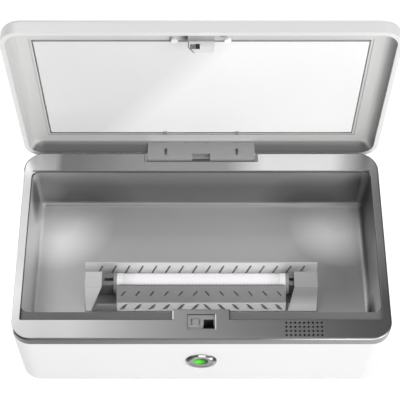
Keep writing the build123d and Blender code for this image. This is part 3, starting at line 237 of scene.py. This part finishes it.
def finish(name, pattern, color, roughness, metallic=0.0, bump=0.1, wear=None, amount=None, layers=(),
           glow=None, **sockets):
    """A Principled material whose colour, roughness and normal come from a pattern group.

    The amount is the pattern's mottling or streaks. The wear is the colour of worn edges. The glow is
    (middle, near, far, colour): the emitted colour, full up to near from the middle and gone past far.
    """
    material = bpy.data.materials.new(name)
    material.use_nodes = True
    tree = material.node_tree
    shader = tree.nodes["Principled BSDF"]
    texture = tree.nodes.new("ShaderNodeGroup")
    texture.node_tree = pattern
    texture.inputs["Roughness"].default_value = roughness
    texture.inputs["Color"].default_value = (*color, 1.0)
    if layers:
        tree.links.new(layered(tree, color, layers), texture.inputs["Color"])
    if amount is not None:
        texture.inputs["Mottle" if pattern is MOULDED else "Streak"].default_value = amount
    surface_color = texture.outputs["Color"]
    if wear is not None:
        edge = tree.nodes.new("ShaderNodeGroup")
        edge.node_tree = EDGE
        surface_color = mix_color(tree, edge.outputs["Mask"], surface_color, (*wear, 1.0))
    tree.links.new(surface_color, shader.inputs["Base Color"])
    tree.links.new(texture.outputs["Roughness"], shader.inputs["Roughness"])
    relief = tree.nodes.new("ShaderNodeBump")
    relief.inputs["Strength"].default_value = bump
    relief.inputs["Distance"].default_value = RELIEF_DEPTH
    tree.links.new(texture.outputs["Height"], relief.inputs["Height"])
    rounding = tree.nodes.new("ShaderNodeBevel")
    rounding.samples = BEVEL_SAMPLES
    rounding.inputs["Radius"].default_value = EDGE_ROUNDING
    tree.links.new(rounding.outputs["Normal"], relief.inputs["Normal"])
    tree.links.new(relief.outputs["Normal"], shader.inputs["Normal"])
    if glow is not None:
        middle, near, far, light = glow
        fading = remap(tree, away_from(tree, middle), near, far)
        lit = mix_color(tree, fading, (*light, 1.0), (0.0, 0.0, 0.0, 1.0))
        tree.links.new(lit, shader.inputs["Emission Color"])
    shader.inputs["Metallic"].default_value = metallic
    for socket, value in sockets.items():
        shader.inputs[socket.replace("_", " ")].default_value = value
    return material


def grey(value):
    """An even grey."""
    return (value, value, value)


UP = (0.0, 0.0, 1.0)
DOWN = (0.0, 0.0, -1.0)
BACK = (0.0, 1.0, 0.0)
FRONT = (0.0, -1.0, 0.0)
RIGHT = (1.0, 0.0, 0.0)
LEFT = (-1.0, 0.0, 0.0)

SHEET = 0.8 * MM
FLANGE_WIDTH = 4.5 * MM
OPENING_REAR_INSET = 16.9 * MM
OPENING_SIDE_INSET = 6.9 * MM
LAMP_LIGHT = (1.0, 0.95, 0.98)
LENS_LIGHT = (0.1, 1.0, 0.0)
LENS_GLINT = (0.06, 0.5, 0.03)
CAP_END = (65.2 * MM, 65.6 * MM)

deck_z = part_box("deck_panel")[1][2]
opening_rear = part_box("base_shell")[1][1] - OPENING_REAR_INSET
opening_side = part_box("base_shell")[1][0] - OPENING_SIDE_INSET
well_low, well_high = (Vector(corner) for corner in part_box("chamber_liner"))
ledge_z = well_high.z - 0.9 * MM
floor_z = well_low.z + SHEET
back_wall_y = well_high.y - FLANGE_WIDTH
side_wall_x = well_high.x - FLANGE_WIDTH
guard_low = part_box("lamp_guard")[0][2]
guard_bend_z = guard_low + 11.2 * MM
latch_low, latch_high = (Vector(corner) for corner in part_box("latch_hook"))
block_y = latch_low.y + 9.5 * MM
plate_y = latch_high.y - 1.8 * MM
cove_low_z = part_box("lid_liner")[0][2]
cove_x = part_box("lid_liner")[1][0] - 3.0 * MM
lens_low, lens_high = (Vector(corner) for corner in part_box("button_lens"))
lens_spot = (lens_low + lens_high) / 2 + Vector((-2.6 * MM, -0.9 * MM, 0.0))
tube_low, tube_high = (Vector(corner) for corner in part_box("lamp_tube"))
tube_middle = (tube_low + tube_high) / 2
bracket_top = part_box("lamp_bracket_left")[1][2]
bezel_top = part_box("button_bezel")[1][2]
bezel_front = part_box("button_bezel")[0][1]
grille_left = Vector((0.0688, -0.0671, deck_z - 0.5 * MM))
grille_right = Vector((0.0818, -0.0671, deck_z - 0.5 * MM))
socket_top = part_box("latch_socket")[1][2]

# middles of the soft patches of light and shade, which are fixed to the pieces and don't follow the lamps
deck_left_middle = Vector((-0.13, 0.015, deck_z))
deck_left_rear = Vector((-0.132, 0.07, deck_z))
deck_left_front = Vector((-0.125, -0.072, deck_z))
deck_right_middle = Vector((0.134, 0.03, deck_z))
deck_right_rear = Vector((0.134, 0.075, deck_z))
back_wall_left = Vector((-0.1, back_wall_y, floor_z))
back_wall_right = Vector((0.09, back_wall_y, floor_z))
right_wall_front = Vector((0.131, -0.045, 0.04))
rear_corner_left = Vector((-0.132, 0.058, 0.055))
rear_corner_right = Vector((0.132, 0.058, 0.055))
floor_left_front = Vector((-0.11, -0.02, floor_z))
floor_left_rear = Vector((-0.115, 0.045, floor_z))
floor_right_front = Vector((0.105, -0.008, floor_z))
floor_right_rear = Vector((0.112, 0.045, floor_z))
blade_corner = Vector((-9.0 * MM, latch_high.y, latch_high.z - 11.7 * MM))
plate_left_end = Vector((-22.5 * MM, latch_high.y, latch_high.z - 13.0 * MM))
plate_right_end = Vector((15.5 * MM, latch_high.y, latch_high.z - 8.7 * MM))
bezel_left = Vector((-10.0 * MM, bezel_front, bezel_top - 5.5 * MM))
bezel_right = Vector((10.5 * MM, bezel_front, bezel_top - 5.5 * MM))
bezel_glint = Vector((6.8 * MM, bezel_front, bezel_top - 5.0 * MM))
button_glint = Vector((lens_low.x, lens_spot.y, lens_spot.z))
button_shade = Vector((lens_high.x + 1.0 * MM, lens_spot.y, lens_high.z))

# the bright band that slants over the mirror, also fixed: its direction, middle line and half its width
GLARE = (1.0, 0.0, -0.703)
GLARE_MIDDLE = -0.1353
GLARE_HALF_WIDTH = 0.014

WHITE_SHELL = finish("White shell", MOULDED, grey(0.81), 0.34, bump=0.05, amount=0.02, wear=grey(0.88),
                     Coat_Weight=0.1, Coat_Roughness=0.2)
WHITE_COVER = finish("White cover", MOULDED, grey(0.78), 0.55, bump=0.25, amount=0.06)
# Painted light and shade on the deck's silver: the top falls from light at the left to dark at the right, with
# lighter and darker patches on its rear, left and right strips, a dark line at the opening's rear edge, a
# white highlight down the left edge, and a dark front band and face that lighten to the right; all stand for
# reflections and shade.
DECK_REAR = (grey(0.6), [(RIGHT, -0.1155, -0.11, grey(0.26)), (RIGHT, -0.095, -0.06, grey(0.35)),
                         (RIGHT, 0.02, 0.05, grey(0.82)), (RIGHT, 0.103, 0.126, grey(0.45))])
DECK_LEFT = (grey(0.5), [(deck_left_middle, 0.03, 0.06, grey(0.42)),
                         (deck_left_rear, 0.006, 0.014, grey(0.62)),
                         (deck_left_front, 0.01, 0.03, grey(0.44))])
DECK_RIGHT = (grey(0.16), [(deck_right_middle, 0.03, 0.08, grey(0.38)),
                           (deck_right_rear, 0.01, 0.03, grey(0.45))])
DECK_TOP = (grey(0.5), [(RIGHT, -0.1, 0.13, grey(0.16)),
                        (deck_left_front, 0.01, 0.03, grey(0.44)),
                        (BACK, opening_rear - 1.0 * MM, opening_rear - 0.5 * MM, grey(0.15)),
                        (BACK, opening_rear + 0.3 * MM, opening_rear + 0.8 * MM, DECK_REAR),
                        (LEFT, opening_side - 0.6 * MM, opening_side, DECK_LEFT),
                        (RIGHT, opening_side - 0.6 * MM, opening_side, DECK_RIGHT)])
DECK_LEFT_EDGE = (grey(1.0), [(DOWN, 1.5 * MM - deck_z, 2.2 * MM - deck_z, grey(0.1))])
DECK_BAND = (grey(0.09), [(RIGHT, -0.1, 0.12, grey(0.26))])
DECK_FRONT = (grey(0.09), [(RIGHT, 0.04, 0.1, grey(0.42))])
DECK_SILVER = finish("Deck silver", MOULDED, grey(0.09), 0.3, metallic=0.9, bump=0.03, amount=0.04,
                     layers=[(FRONT, 0.07, 0.075, DECK_FRONT),
                             (DOWN, 0.9 * MM - deck_z, 1.3 * MM - deck_z, DECK_BAND),
                             (LEFT, 0.1365, 0.138, DECK_LEFT_EDGE),
                             (BACK, 62.0 * MM, 66.0 * MM, grey(0.18)),
                             # painted shade: the walls of the grille's holes are near black
                             (grille_left, 0.0095, 0.0105, grey(0.01)),
                             (grille_right, 0.0095, 0.0105, grey(0.01)),
                             (UP, deck_z - 0.18 * MM, deck_z - 0.03 * MM, DECK_TOP)])
# Painted shade: the lid's silver is dark low in its lower cove and along its right cove.
LID_SILVER = finish("Lid silver", MOULDED, (0.72, 0.72, 0.71), 0.45, metallic=0.3, bump=0.04, amount=0.05,
                    wear=grey(0.85),
                    layers=[(DOWN, -cove_low_z - 6.8 * MM, -cove_low_z - 4.6 * MM, grey(0.15)),
                            (RIGHT, cove_x - 2.0 * MM, cove_x + 3.0 * MM, grey(0.1))])
# Painted light and shade on the chamber's steel: lighter and darker patches on the floor, a light band in
# front of the guard, a darker back wall with dark patches, a dark line on the floor's bend at the back, a
# light left wall, a dark right wall, dark rear corners and a dark ledge under the deck.
BACK_WALL = (grey(0.23), [(UP, 57.0 * MM, 76.0 * MM, grey(0.42)),
                          (back_wall_left, 0.015, 0.05, grey(0.12)),
                          (back_wall_right, 0.015, 0.045, grey(0.1))])
RIGHT_WALL = (grey(0.2), [(FRONT, -0.01, 0.03, grey(0.6)),
                          (right_wall_front, 0.01, 0.02, grey(0.1))])
LEDGE = (grey(0.12), [(RIGHT, -0.1, 0.1, grey(0.25)), (BACK, 0.05, 0.06, grey(0.42))])
STEEL = finish("Stainless sheet", ROLLED, grey(0.5), 0.4, metallic=0.75, bump=0.02, amount=0.1,
               layers=[(BACK, 35.0 * MM, 58.0 * MM, grey(0.75)),
                       (floor_right_front, 0.01, 0.045, grey(0.3)),
                       (floor_left_front, 0.01, 0.045, grey(0.4)),
                       (floor_left_rear, 0.015, 0.045, grey(0.92)),
                       (floor_right_rear, 0.012, 0.042, grey(1.0)),
                       (FRONT, 38.5 * MM, 42.0 * MM, grey(1.0)),
                       (BACK, back_wall_y - 4.0 * MM, back_wall_y - 2.5 * MM, grey(0.34)),
                       (BACK, back_wall_y - 1.4 * MM, back_wall_y, BACK_WALL),
                       (LEFT, side_wall_x - 1.0 * MM, side_wall_x + 0.5 * MM, grey(0.9)),
                       (RIGHT, side_wall_x - 4.0 * MM, side_wall_x - 1.0 * MM, RIGHT_WALL),
                       (rear_corner_left, 0.012, 0.026, grey(0.22)),
                       (rear_corner_right, 0.012, 0.026, grey(0.15)),
                       (UP, ledge_z, ledge_z + 0.1 * MM, LEDGE)])
# Painted shade: the reflector's sheet is darker at its foot and in front of 32 mm ahead of the middle.
WING_STEEL = finish("Reflector sheet", ROLLED, grey(0.85), 0.38, metallic=0.3, bump=0.02, amount=0.12,
                    layers=[(DOWN, -floor_z - 2.0 * MM, -floor_z - 1.0 * MM, grey(0.3)),
                            (FRONT, 30.0 * MM, 32.0 * MM, grey(0.3))])
# Painted light and shade: the guard's upright band is light and its upper slope, above the bend, is darker.
GUARD_STEEL = finish("Guard sheet", ROLLED, grey(1.0), 0.4, bump=0.03, amount=0.1,
                     layers=[(UP, guard_bend_z, guard_bend_z + 0.6 * MM, grey(0.34))])
# Painted shade on the lamp brackets: the right bracket is darker high up, and the top faces are darker, more
# so on the right.
BRACKET_RIGHT = (grey(0.85), [(UP, 38.0 * MM, 47.0 * MM, grey(0.45))])
BRACKET_TOP = (grey(0.6), [(RIGHT, -0.01, 0.01, grey(0.42))])
BRACKET_STEEL = finish("Bracket sheet", ROLLED, grey(0.9), 0.42, metallic=0.15, bump=0.03, amount=0.1,
                       layers=[(RIGHT, -0.01, 0.01, BRACKET_RIGHT),
                               (UP, bracket_top - 0.3 * MM, bracket_top - 0.1 * MM, BRACKET_TOP)])
MIRROR = finish("Mirror", MOULDED, grey(0.84), 0.22, bump=0.0, amount=0.01,
                layers=[(GLARE, GLARE_MIDDLE - GLARE_HALF_WIDTH, GLARE_MIDDLE + GLARE_HALF_WIDTH, grey(1.0))])
TUBE = finish("Lamp glass", MOULDED, (0.85, 0.84, 0.87), 0.15, bump=0.02, amount=0.02,
              glow=(tube_middle, 50.0 * MM, 64.0 * MM, LAMP_LIGHT), Emission_Strength=0.24)
# Painted light: next to the glass the lamp caps are light and glow faintly, as lit glass does; past 65.6 mm
# from the lamp's middle they keep a grey.
CAP = finish("Lamp cap", ROLLED, grey(0.95), 0.4, metallic=0.1, amount=0.1,
             layers=[(RIGHT, *CAP_END, grey(0.35)), (LEFT, *CAP_END, grey(0.35))],
             glow=(tube_middle, 65.4 * MM, 65.8 * MM, LAMP_LIGHT), Emission_Strength=0.06)
# also used for the painted shade along the latch's blade
HOLDER_AND_BLADE_SHADE = finish("Lamp holder and blade shade", MOULDED, grey(0.18), 0.5, amount=0.08, wear=grey(0.3))
# Painted light: the hinge plastic turns lighter past 91 mm towards the back.
HINGE = finish("Hinge plastic", MOULDED, grey(0.34), 0.42, metallic=0.15, amount=0.04, wear=grey(0.45),
               layers=[(BACK, 89.0 * MM, 91.0 * MM, grey(0.46))])
# Painted shade on the latch: its block is darker and darkest at the top, and its plate is dark at the blade's
# cut corner, at both ends and along its lower part.
LATCH_BLOCK = (grey(0.24), [(UP, latch_high.z - 3.0 * MM, latch_high.z, grey(0.12))])
LATCH_PLATE = (grey(0.62), [(blade_corner, 0.002, 0.007, grey(0.08)),
                            (plate_left_end, 0.001, 0.004, grey(0.12)),
                            (plate_right_end, 0.001, 0.004, grey(0.1)),
                            (DOWN, 14.6 * MM - latch_high.z, 15.2 * MM - latch_high.z, grey(0.25))])
LATCH = finish("Latch plastic", MOULDED, grey(0.88), 0.34, metallic=0.1, amount=0.04, wear=grey(0.9),
               layers=[(BACK, block_y, block_y + 0.3 * MM, LATCH_BLOCK),
                       (BACK, plate_y, plate_y + 0.2 * MM, LATCH_PLATE)])
SOCKET = finish("Socket plastic", MOULDED, grey(0.36), 0.42, metallic=0.3, amount=0.06, wear=grey(0.5))
# Painted light and shade in the latch socket: below its top the walls of its well are painted light, and dark
# right of 1.6 mm.
SOCKET_WELL = (grey(1.0), [(RIGHT, 1.2 * MM, 1.6 * MM, grey(0.1))])
LATCH_SOCKET = finish("Latch socket", MOULDED, grey(0.32), 0.42, metallic=0.3, amount=0.06,
                      layers=[(DOWN, 0.3 * MM - socket_top, 0.9 * MM - socket_top, SOCKET_WELL)])
# also used for the painted shade plate in the hinge lug's pocket
BLACK = finish("Black plastic and pocket shade", MOULDED, grey(0.015), 0.5, amount=0.3, wear=grey(0.05))
SCREW = finish("Screw steel", ROLLED, grey(0.7), 0.3, metallic=1.0, amount=0.15)
# plain white that stands for glints: painted highlight on the latch screws' heads and on the deck's edges
GLINT_WHITE = finish("Painted glint white", ROLLED, grey(1.0), 0.25, amount=0.05)
BRASS = finish("Bush brass", ROLLED, (0.72, 0.53, 0.24), 0.3, metallic=1.0, amount=0.15)
# Painted reflections on the bezel's chrome: dark patches at its left and right and a white glint.
CHROME = finish("Bezel chrome", ROLLED, grey(0.3), 0.14, metallic=1.0, bump=0.02, amount=0.04,
                layers=[(bezel_left, 0.0035, 0.006, grey(0.04)),
                        (bezel_right, 0.003, 0.0055, grey(0.03)),
                        (bezel_glint, 0.001, 0.0025, grey(1.0))])
# Painted highlight and shade on the button: a green glint at its left and a dark patch at its right.
BUTTON = finish("Button face", MOULDED, grey(0.24), 0.3, metallic=0.6, amount=0.04,
                layers=[(button_glint, 0.0005, 0.003, LENS_GLINT), (button_shade, 0.001, 0.003, grey(0.08))])
LENS = finish("Button lens", MOULDED, (0.02, 0.08, 0.015), 0.4, amount=0.1,
              glow=(lens_spot, 1.5 * MM, 6.5 * MM, LENS_LIGHT), Emission_Strength=0.8,
              Specular_IOR_Level=0.05)
BOARD = finish("Circuit board", MOULDED, (0.03, 0.16, 0.07), 0.4, amount=0.5)
RUBBER = finish("Foot rubber", MOULDED, grey(0.05), 0.75, bump=0.4, amount=0.3)
# dark bead and lines round the mirror: painted shade
MIRROR_GAP_SHADE = finish("Mirror gap shade", MOULDED, grey(0.22), 0.6, amount=0.2)
TEETH = finish("Guard teeth", MOULDED, grey(0.05), 0.8, amount=0.3)
# dull dark strips behind the slots: painted shade
SLOT_SHADE = finish("Slot shade", MOULDED, grey(0.2), 0.8, amount=0.3)
# the louvres' steel is darker than the guard's own sheet: painted shade of the slots
LOUVRE = finish("Louvre steel in painted shade", ROLLED, grey(0.2), 0.45, metallic=0.3, amount=0.2)
# also used for the painted shade round the catch in the latch socket
SPRING_AND_CATCH_SHADE = finish("Latch spring and catch shade", ROLLED, grey(0.3), 0.35, metallic=0.8, amount=0.1)
STEP_SHADE = finish("Step shade", MOULDED, grey(0.38), 0.6, amount=0.2)

FINISHES = {
    WHITE_SHELL: ("base_shell", "lid_shell"),
    WHITE_COVER: ("bottom_cover",),
    DECK_SILVER: ("deck_panel",),
    LID_SILVER: ("lid_liner",),
    STEEL: ("chamber_liner",),
    WING_STEEL: ("lamp_reflector",),
    GUARD_STEEL: ("lamp_guard",),
    BRACKET_STEEL: ("lamp_bracket_left", "lamp_bracket_right"),
    MIRROR: ("mirror",),
    TUBE: ("lamp_tube",),
    CAP: ("lamp_caps",),
    HOLDER_AND_BLADE_SHADE: ("lamp_holder_left", "lamp_holder_right"),
    HINGE: ("hinge_lug", "hinge_cradle"),
    LATCH: ("latch_hook",),
    SOCKET: ("mirror_clips",),
    LATCH_SOCKET: ("latch_socket",),
    BLACK: ("lid_switch", "sounder", "switch_body", "dc_jack"),
    SCREW: ("cover_screws", "deck_screws", "board_screws", "cradle_screws", "hinge_pins", "button_nut"),
    GLINT_WHITE: ("latch_screws",),
    BRASS: ("hinge_bushes",),
    CHROME: ("button_bezel",),
    BUTTON: ("power_button",),
    LENS: ("button_lens",),
    BOARD: ("control_board", "lamp_ballast"),
    RUBBER: ("rubber_feet",),
}
for material, names in FINISHES.items():
    for name in names:
        mesh = nodes[name].data
        mesh.materials.clear()
        mesh.materials.append(material)


# ------------------------------------------------------------------ small pieces
HINGE_AXIS = Vector((0.0, 77.5, 76.0)) * MM
LID_SWING = math.radians(-88.8)
SLOT_SHADE_SHEET = 0.3
LOUVRES_PER_SIDE = 6
LOUVRE_FIRST = 4.7
LOUVRE_PITCH = 11.1
LOUVRE_SLANT = 2.4
LOUVRE_HALF_WIDTH = 0.9
LOUVRE_FOOT, LOUVRE_HEAD = 36.1, 43.6
GUARD_LEAN = math.radians(-5.6)
TEETH_COUNT = 48
TOOTH_FIRST = -62.0
TOOTH_PITCH = 2.64
TOOTH_HALF_WIDTH = 0.6


def place(name, shape, material, body):
    """Turn a bmesh into a finished piece that rides on a body and takes its finish from a slot."""
    bmesh.ops.recalc_face_normals(shape, faces=shape.faces)
    mesh = bpy.data.meshes.new(name)
    shape.to_mesh(mesh)
    shape.free()
    mesh.materials.append(material)
    piece = bpy.data.objects.new(name, mesh)
    bpy.context.scene.collection.objects.link(piece)
    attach(piece, body)


def swing_open(shape):
    """Turn a shape modelled on the shut lid to the open stop."""
    bmesh.ops.rotate(shape, verts=shape.verts, cent=HINGE_AXIS, matrix=Matrix.Rotation(LID_SWING, 3, "X"))


def bevel_edges(shape, edges, width, segments):
    """Round edges by a width in metres."""
    bmesh.ops.bevel(shape, geom=edges, offset=width, offset_type="OFFSET", affect="EDGES", segments=segments,
                    profile=0.5, material=-1)


def verts_of(geometry):
    """The vertices in what a bmesh operator returns."""
    return [v for v in geometry if isinstance(v, bmesh.types.BMVert)]


def add_block(shape, low, high, edge, segments=2):
    """A box between two corners, with its edges rounded, all in millimetres."""
    low, high = Vector(low) * MM, Vector(high) * MM
    made = bmesh.ops.create_cube(shape, size=1.0)["verts"]
    bmesh.ops.scale(shape, verts=made, vec=high - low)
    bmesh.ops.translate(shape, verts=made, vec=(high + low) / 2)
    bevel_edges(shape, list({e for v in made for e in v.link_edges}), edge * MM, segments)


def add_frame(shape, half_width, front, rear, low, high, bead):
    """A rectangular ring round the mirror, in millimetres on the shut lid."""
    corners = [(-half_width, front), (half_width, front), (half_width, rear), (-half_width, rear)]
    face = shape.faces.new([shape.verts.new(Vector((x, y, low)) * MM) for x, y in corners])
    made = bmesh.ops.inset_individual(shape, faces=[face], thickness=bead * MM,
                                      use_even_offset=True)["faces"]
    bmesh.ops.delete(shape, geom=[face], context="FACES")
    raised = bmesh.ops.extrude_face_region(shape, geom=made)["geom"]
    bmesh.ops.translate(shape, verts=verts_of(raised), vec=(0.0, 0.0, (high - low) * MM))


def make_mirror_gap_shade():
    """Painted shade: a dark bead in the gap round the mirror, a dark line where its frame steps down, and a
    dark bead at its front, in place of the shade in that gap and at the step.
    """
    shape = bmesh.new()
    add_frame(shape, 119.25, -60.45, 60.65, 90.2, 91.4, 0.5)
    swing_open(shape)
    place("mirror_gap_shade", shape, MIRROR_GAP_SHADE, "lid")
    shape = bmesh.new()
    add_frame(shape, 121.25, -62.45, 62.65, 90.05, 90.4, 0.45)
    swing_open(shape)
    place("mirror_step_shade", shape, STEP_SHADE, "lid")
    shape = bmesh.new()
    add_block(shape, (-118.6, -59.8, 90.1), (118.6, -58.7, 90.5), 0.12)
    swing_open(shape)
    place("mirror_edge_shade", shape, STEP_SHADE, "lid")


def add_strip(shape, profile, half_length, thickness):
    """Bent sheet along a side profile of (y, z) points, in millimetres, run along X."""
    points = [shape.verts.new(Vector((-half_length, y, z)) * MM) for y, z in profile]
    lines = [shape.edges.new(pair) for pair in zip(points, points[1:])]
    grown = bmesh.ops.extrude_edge_only(shape, edges=lines)["geom"]
    bmesh.ops.translate(shape, verts=verts_of(grown), vec=(2 * half_length * MM, 0.0, 0.0))
    bmesh.ops.recalc_face_normals(shape, faces=shape.faces)
    bmesh.ops.solidify(shape, geom=list(shape.faces), thickness=thickness * MM)


def make_slot_shades():
    """Painted shade: dull dark strips behind the slots of the guard and of the reflector's wing, so that the
    slots show dark.
    """
    shape = bmesh.new()
    add_strip(shape, [(-34.3, 34.9), (-33.4, 43.9), (-22.8, 51.05)], 64.8, SLOT_SHADE_SHEET)
    place("guard_slot_shade", shape, SLOT_SHADE, "base")
    shape = bmesh.new()
    add_strip(shape, [(-6.0, 37.0), (-1.65, 48.93)], 88.0, SLOT_SHADE_SHEET)
    place("wing_slot_shade", shape, SLOT_SHADE, "base")


def add_prism(shape, outline, low, high):
    """A plate with an outline of (x, z) points, in millimetres, from one y to another."""
    corners = [shape.verts.new(Vector((x, low, z)) * MM) for x, z in outline]
    grown = bmesh.ops.extrude_face_region(shape, geom=[shape.faces.new(corners)])["geom"]
    bmesh.ops.translate(shape, verts=verts_of(grown), vec=(0.0, (high - low) * MM, 0.0))


def make_guard_louvres():
    """The pressed louvre over each slot of the guard's upright band, coloured dark as painted shade of the
    slot.
    """
    shape = bmesh.new()
    for k in range(LOUVRES_PER_SIDE):
        for side in (-1, 1):
            middle = side * (LOUVRE_FIRST + LOUVRE_PITCH * k)
            foot, head = middle + side * LOUVRE_SLANT, middle - side * LOUVRE_SLANT
            outline = [(foot - LOUVRE_HALF_WIDTH, LOUVRE_FOOT), (foot + LOUVRE_HALF_WIDTH, LOUVRE_FOOT),
                       (head + LOUVRE_HALF_WIDTH, LOUVRE_HEAD), (head - LOUVRE_HALF_WIDTH, LOUVRE_HEAD)]
            add_prism(shape, outline, -35.45, -35.0)
    bmesh.ops.rotate(shape, verts=shape.verts, cent=Vector((0.0, -35.24, LOUVRE_FOOT)) * MM,
                     matrix=Matrix.Rotation(GUARD_LEAN, 3, "X"))
    shape.normal_update()
    bevel_edges(shape, list(shape.edges), 0.12 * MM, 1)
    place("guard_louvres", shape, LOUVRE, "base")


def make_guard_teeth():
    """The row of fine teeth along the top edge of the guard."""
    shape = bmesh.new()
    add_block(shape, (-64.0, -22.6, 52.35), (64.0, -22.2, 52.7), 0.08)
    for k in range(TEETH_COUNT):
        x = TOOTH_FIRST + TOOTH_PITCH * k
        add_block(shape, (x - TOOTH_HALF_WIDTH, -22.5, 52.6), (x + TOOTH_HALF_WIDTH, -22.25, 53.2), 0.08, 1)
    place("guard_teeth", shape, TEETH, "base")


def make_latch_pawl():
    """The spring leaf and the pawl in the window of the latch's blade."""
    shape = bmesh.new()
    add_block(shape, (-3.7, -70.65, 74.9), (-0.9, -69.2, 79.6), 0.4)
    swing_open(shape)
    place("latch_pawl", shape, BLACK, "lid")
    shape = bmesh.new()
    add_block(shape, (-7.7, -70.2, 74.9), (-3.7, -69.4, 79.6), 0.2)
    swing_open(shape)
    place("latch_spring", shape, SPRING_AND_CATCH_SHADE, "lid")


def make_blade_edge_shade():
    """Painted shade: a dark strip down the left side of the latch's blade and round its cut corner, where its
    side face is in shade.
    """
    shape = bmesh.new()
    outline = [(-9.15, 84.0), (-9.15, 76.6), (-5.7, 71.9), (-5.1, 71.9), (-8.55, 76.8), (-8.55, 84.0)]
    add_prism(shape, outline, -70.88, -70.7)
    swing_open(shape)
    place("latch_blade_edge_shade", shape, HOLDER_AND_BLADE_SHADE, "lid")


def make_catch_shade():
    """Painted shade: dark strips round three sides of the catch in the latch socket, in place of the shade in
    its gap.
    """
    shape = bmesh.new()
    for low, high in (((-7.9, -68.4, 79.5), (-7.1, -63.2, 79.78)),
                      ((-1.3, -68.4, 79.5), (-0.5, -63.2, 79.78)),
                      ((-7.1, -63.8, 79.5), (-1.3, -63.2, 79.78))):
        add_block(shape, low, high, 0.05, 1)
    place("catch_shade", shape, SPRING_AND_CATCH_SHADE, "base")


def make_deck_glints():
    """Painted highlights: thin white strips on the edge at the left of the deck's tab and on the edge at the
    right of the latch socket.
    """
    shape = bmesh.new()
    add_block(shape, (-21.15, -64.2, 80.4), (-20.45, -57.2, 81.06), 0.1)
    add_block(shape, (10.35, -72.6, 80.6), (10.9, -60.2, 81.06), 0.1)
    place("deck_glints", shape, GLINT_WHITE, "base")


def make_lug_pocket_shade():
    """Painted shade: a dark plate in the pocket of the hinge lug, where the pocket is in shade."""
    shape = bmesh.new()
    add_block(shape, (-6.9, 75.6, 73.2), (6.9, 75.95, 78.8), 0.15)
    place("lug_pocket_shade", shape, BLACK, "lid")


# ------------------------------------------------------------------ floor, light and camera
FLOOR_HALF_SIZE = 6.0
FLOOR_TONE = 0.5
FLOOR_LIFT = 0.75
SKY_STRENGTH = 0.25
CAMERA_PLACE = (0.0, -0.42306, 0.86467)
CAMERA_TILT = math.radians(30.42)
CAMERA_LENS = 105.2
CAMERA_SHIFT = -0.003
LIGHTS = (  # name, place, target, size and power
    ("key", (1.0, -0.8, 0.9), (0, 0, 0.08), (0.9, 0.9), 12.0),
    ("fill", (0.1, -1.3, 0.5), (0, 0, 0.08), (0.8, 0.8), 8.0),
    ("overhead", (0.2, -0.1, 1.6), (0, 0, 0.08), (1.0, 1.0), 3.2),
    ("rear", (0.3, 1.5, 0.5), (0, 0, 0.08), (0.9, 0.7), 5.0),
    ("panel", (-0.55, 0.5, 1.1), (-0.1, 0, 0.08), (0.7, 0.6), 3.2),
    ("left", (-1.0, 0.0, 0.2), (-0.1, 0, 0.1), (1.0, 0.3), 1.6),
)


def make_floor():
    """A wide pale floor, lifted to white where it is seen, that keeps the shadow of the box."""
    mesh = bpy.data.meshes.new("floor")
    shape = bmesh.new()
    bmesh.ops.create_grid(shape, x_segments=2, y_segments=2, size=FLOOR_HALF_SIZE)
    shape.to_mesh(mesh)
    shape.free()
    floor = bpy.data.objects.new("floor", mesh)
    bpy.context.scene.collection.objects.link(floor)
    material = bpy.data.materials.new("Floor")
    material.use_nodes = True
    tree = material.node_tree
    shader = tree.nodes["Principled BSDF"]
    shader.inputs["Base Color"].default_value = (*grey(FLOOR_TONE), 1.0)
    shader.inputs["Roughness"].default_value = 0.9
    rays = tree.nodes.new("ShaderNodeLightPath")
    seen = math_node(tree, "MAXIMUM", rays.outputs["Is Camera Ray"], rays.outputs["Is Glossy Ray"])
    seen = math_node(tree, "MAXIMUM", seen, rays.outputs["Is Transmission Ray"])
    white = tree.nodes.new("ShaderNodeEmission")
    tree.links.new(math_node(tree, "MULTIPLY", seen, FLOOR_LIFT), white.inputs["Strength"])
    both = tree.nodes.new("ShaderNodeAddShader")
    tree.links.new(shader.outputs["BSDF"], both.inputs[0])
    tree.links.new(white.outputs["Emission"], both.inputs[1])
    tree.links.new(both.outputs["Shader"], tree.nodes["Material Output"].inputs["Surface"])
    mesh.materials.append(material)


def area_light(name, spot, target, size, power):
    """A soft rectangular light at a spot, facing a target."""
    data = bpy.data.lights.new(name, "AREA")
    data.shape = "RECTANGLE"
    data.size, data.size_y = size
    data.energy = power
    lamp = bpy.data.objects.new(name, data)
    lamp.location = spot
    lamp.rotation_euler = (Vector(target) - Vector(spot)).to_track_quat("-Z", "Y").to_euler()
    bpy.context.scene.collection.objects.link(lamp)


def make_camera():
    """The camera: in front of the box and well above it, with a long lens."""
    data = bpy.data.cameras.new("camera")
    data.lens = CAMERA_LENS
    data.shift_x = CAMERA_SHIFT
    camera = bpy.data.objects.new("camera", data)
    camera.location = CAMERA_PLACE
    camera.rotation_euler = (CAMERA_TILT, 0.0, 0.0)
    bpy.context.scene.collection.objects.link(camera)
    bpy.context.scene.camera = camera


def make_world():
    """A plain even sky."""
    world = bpy.data.worlds.new("sky")
    bpy.context.scene.world = world
    world.use_nodes = True
    sky = world.node_tree.nodes["Background"]
    sky.inputs["Color"].default_value = (1.0, 1.0, 1.0, 1.0)
    sky.inputs["Strength"].default_value = SKY_STRENGTH


make_mirror_gap_shade()
make_slot_shades()
make_guard_louvres()
make_guard_teeth()
make_latch_pawl()
make_blade_edge_shade()
make_catch_shade()
make_deck_glints()
make_lug_pocket_shade()
make_floor()
make_world()
for light in LIGHTS:
    area_light(*light)
make_camera()
bpy.context.scene.view_settings.view_transform = "Standard"
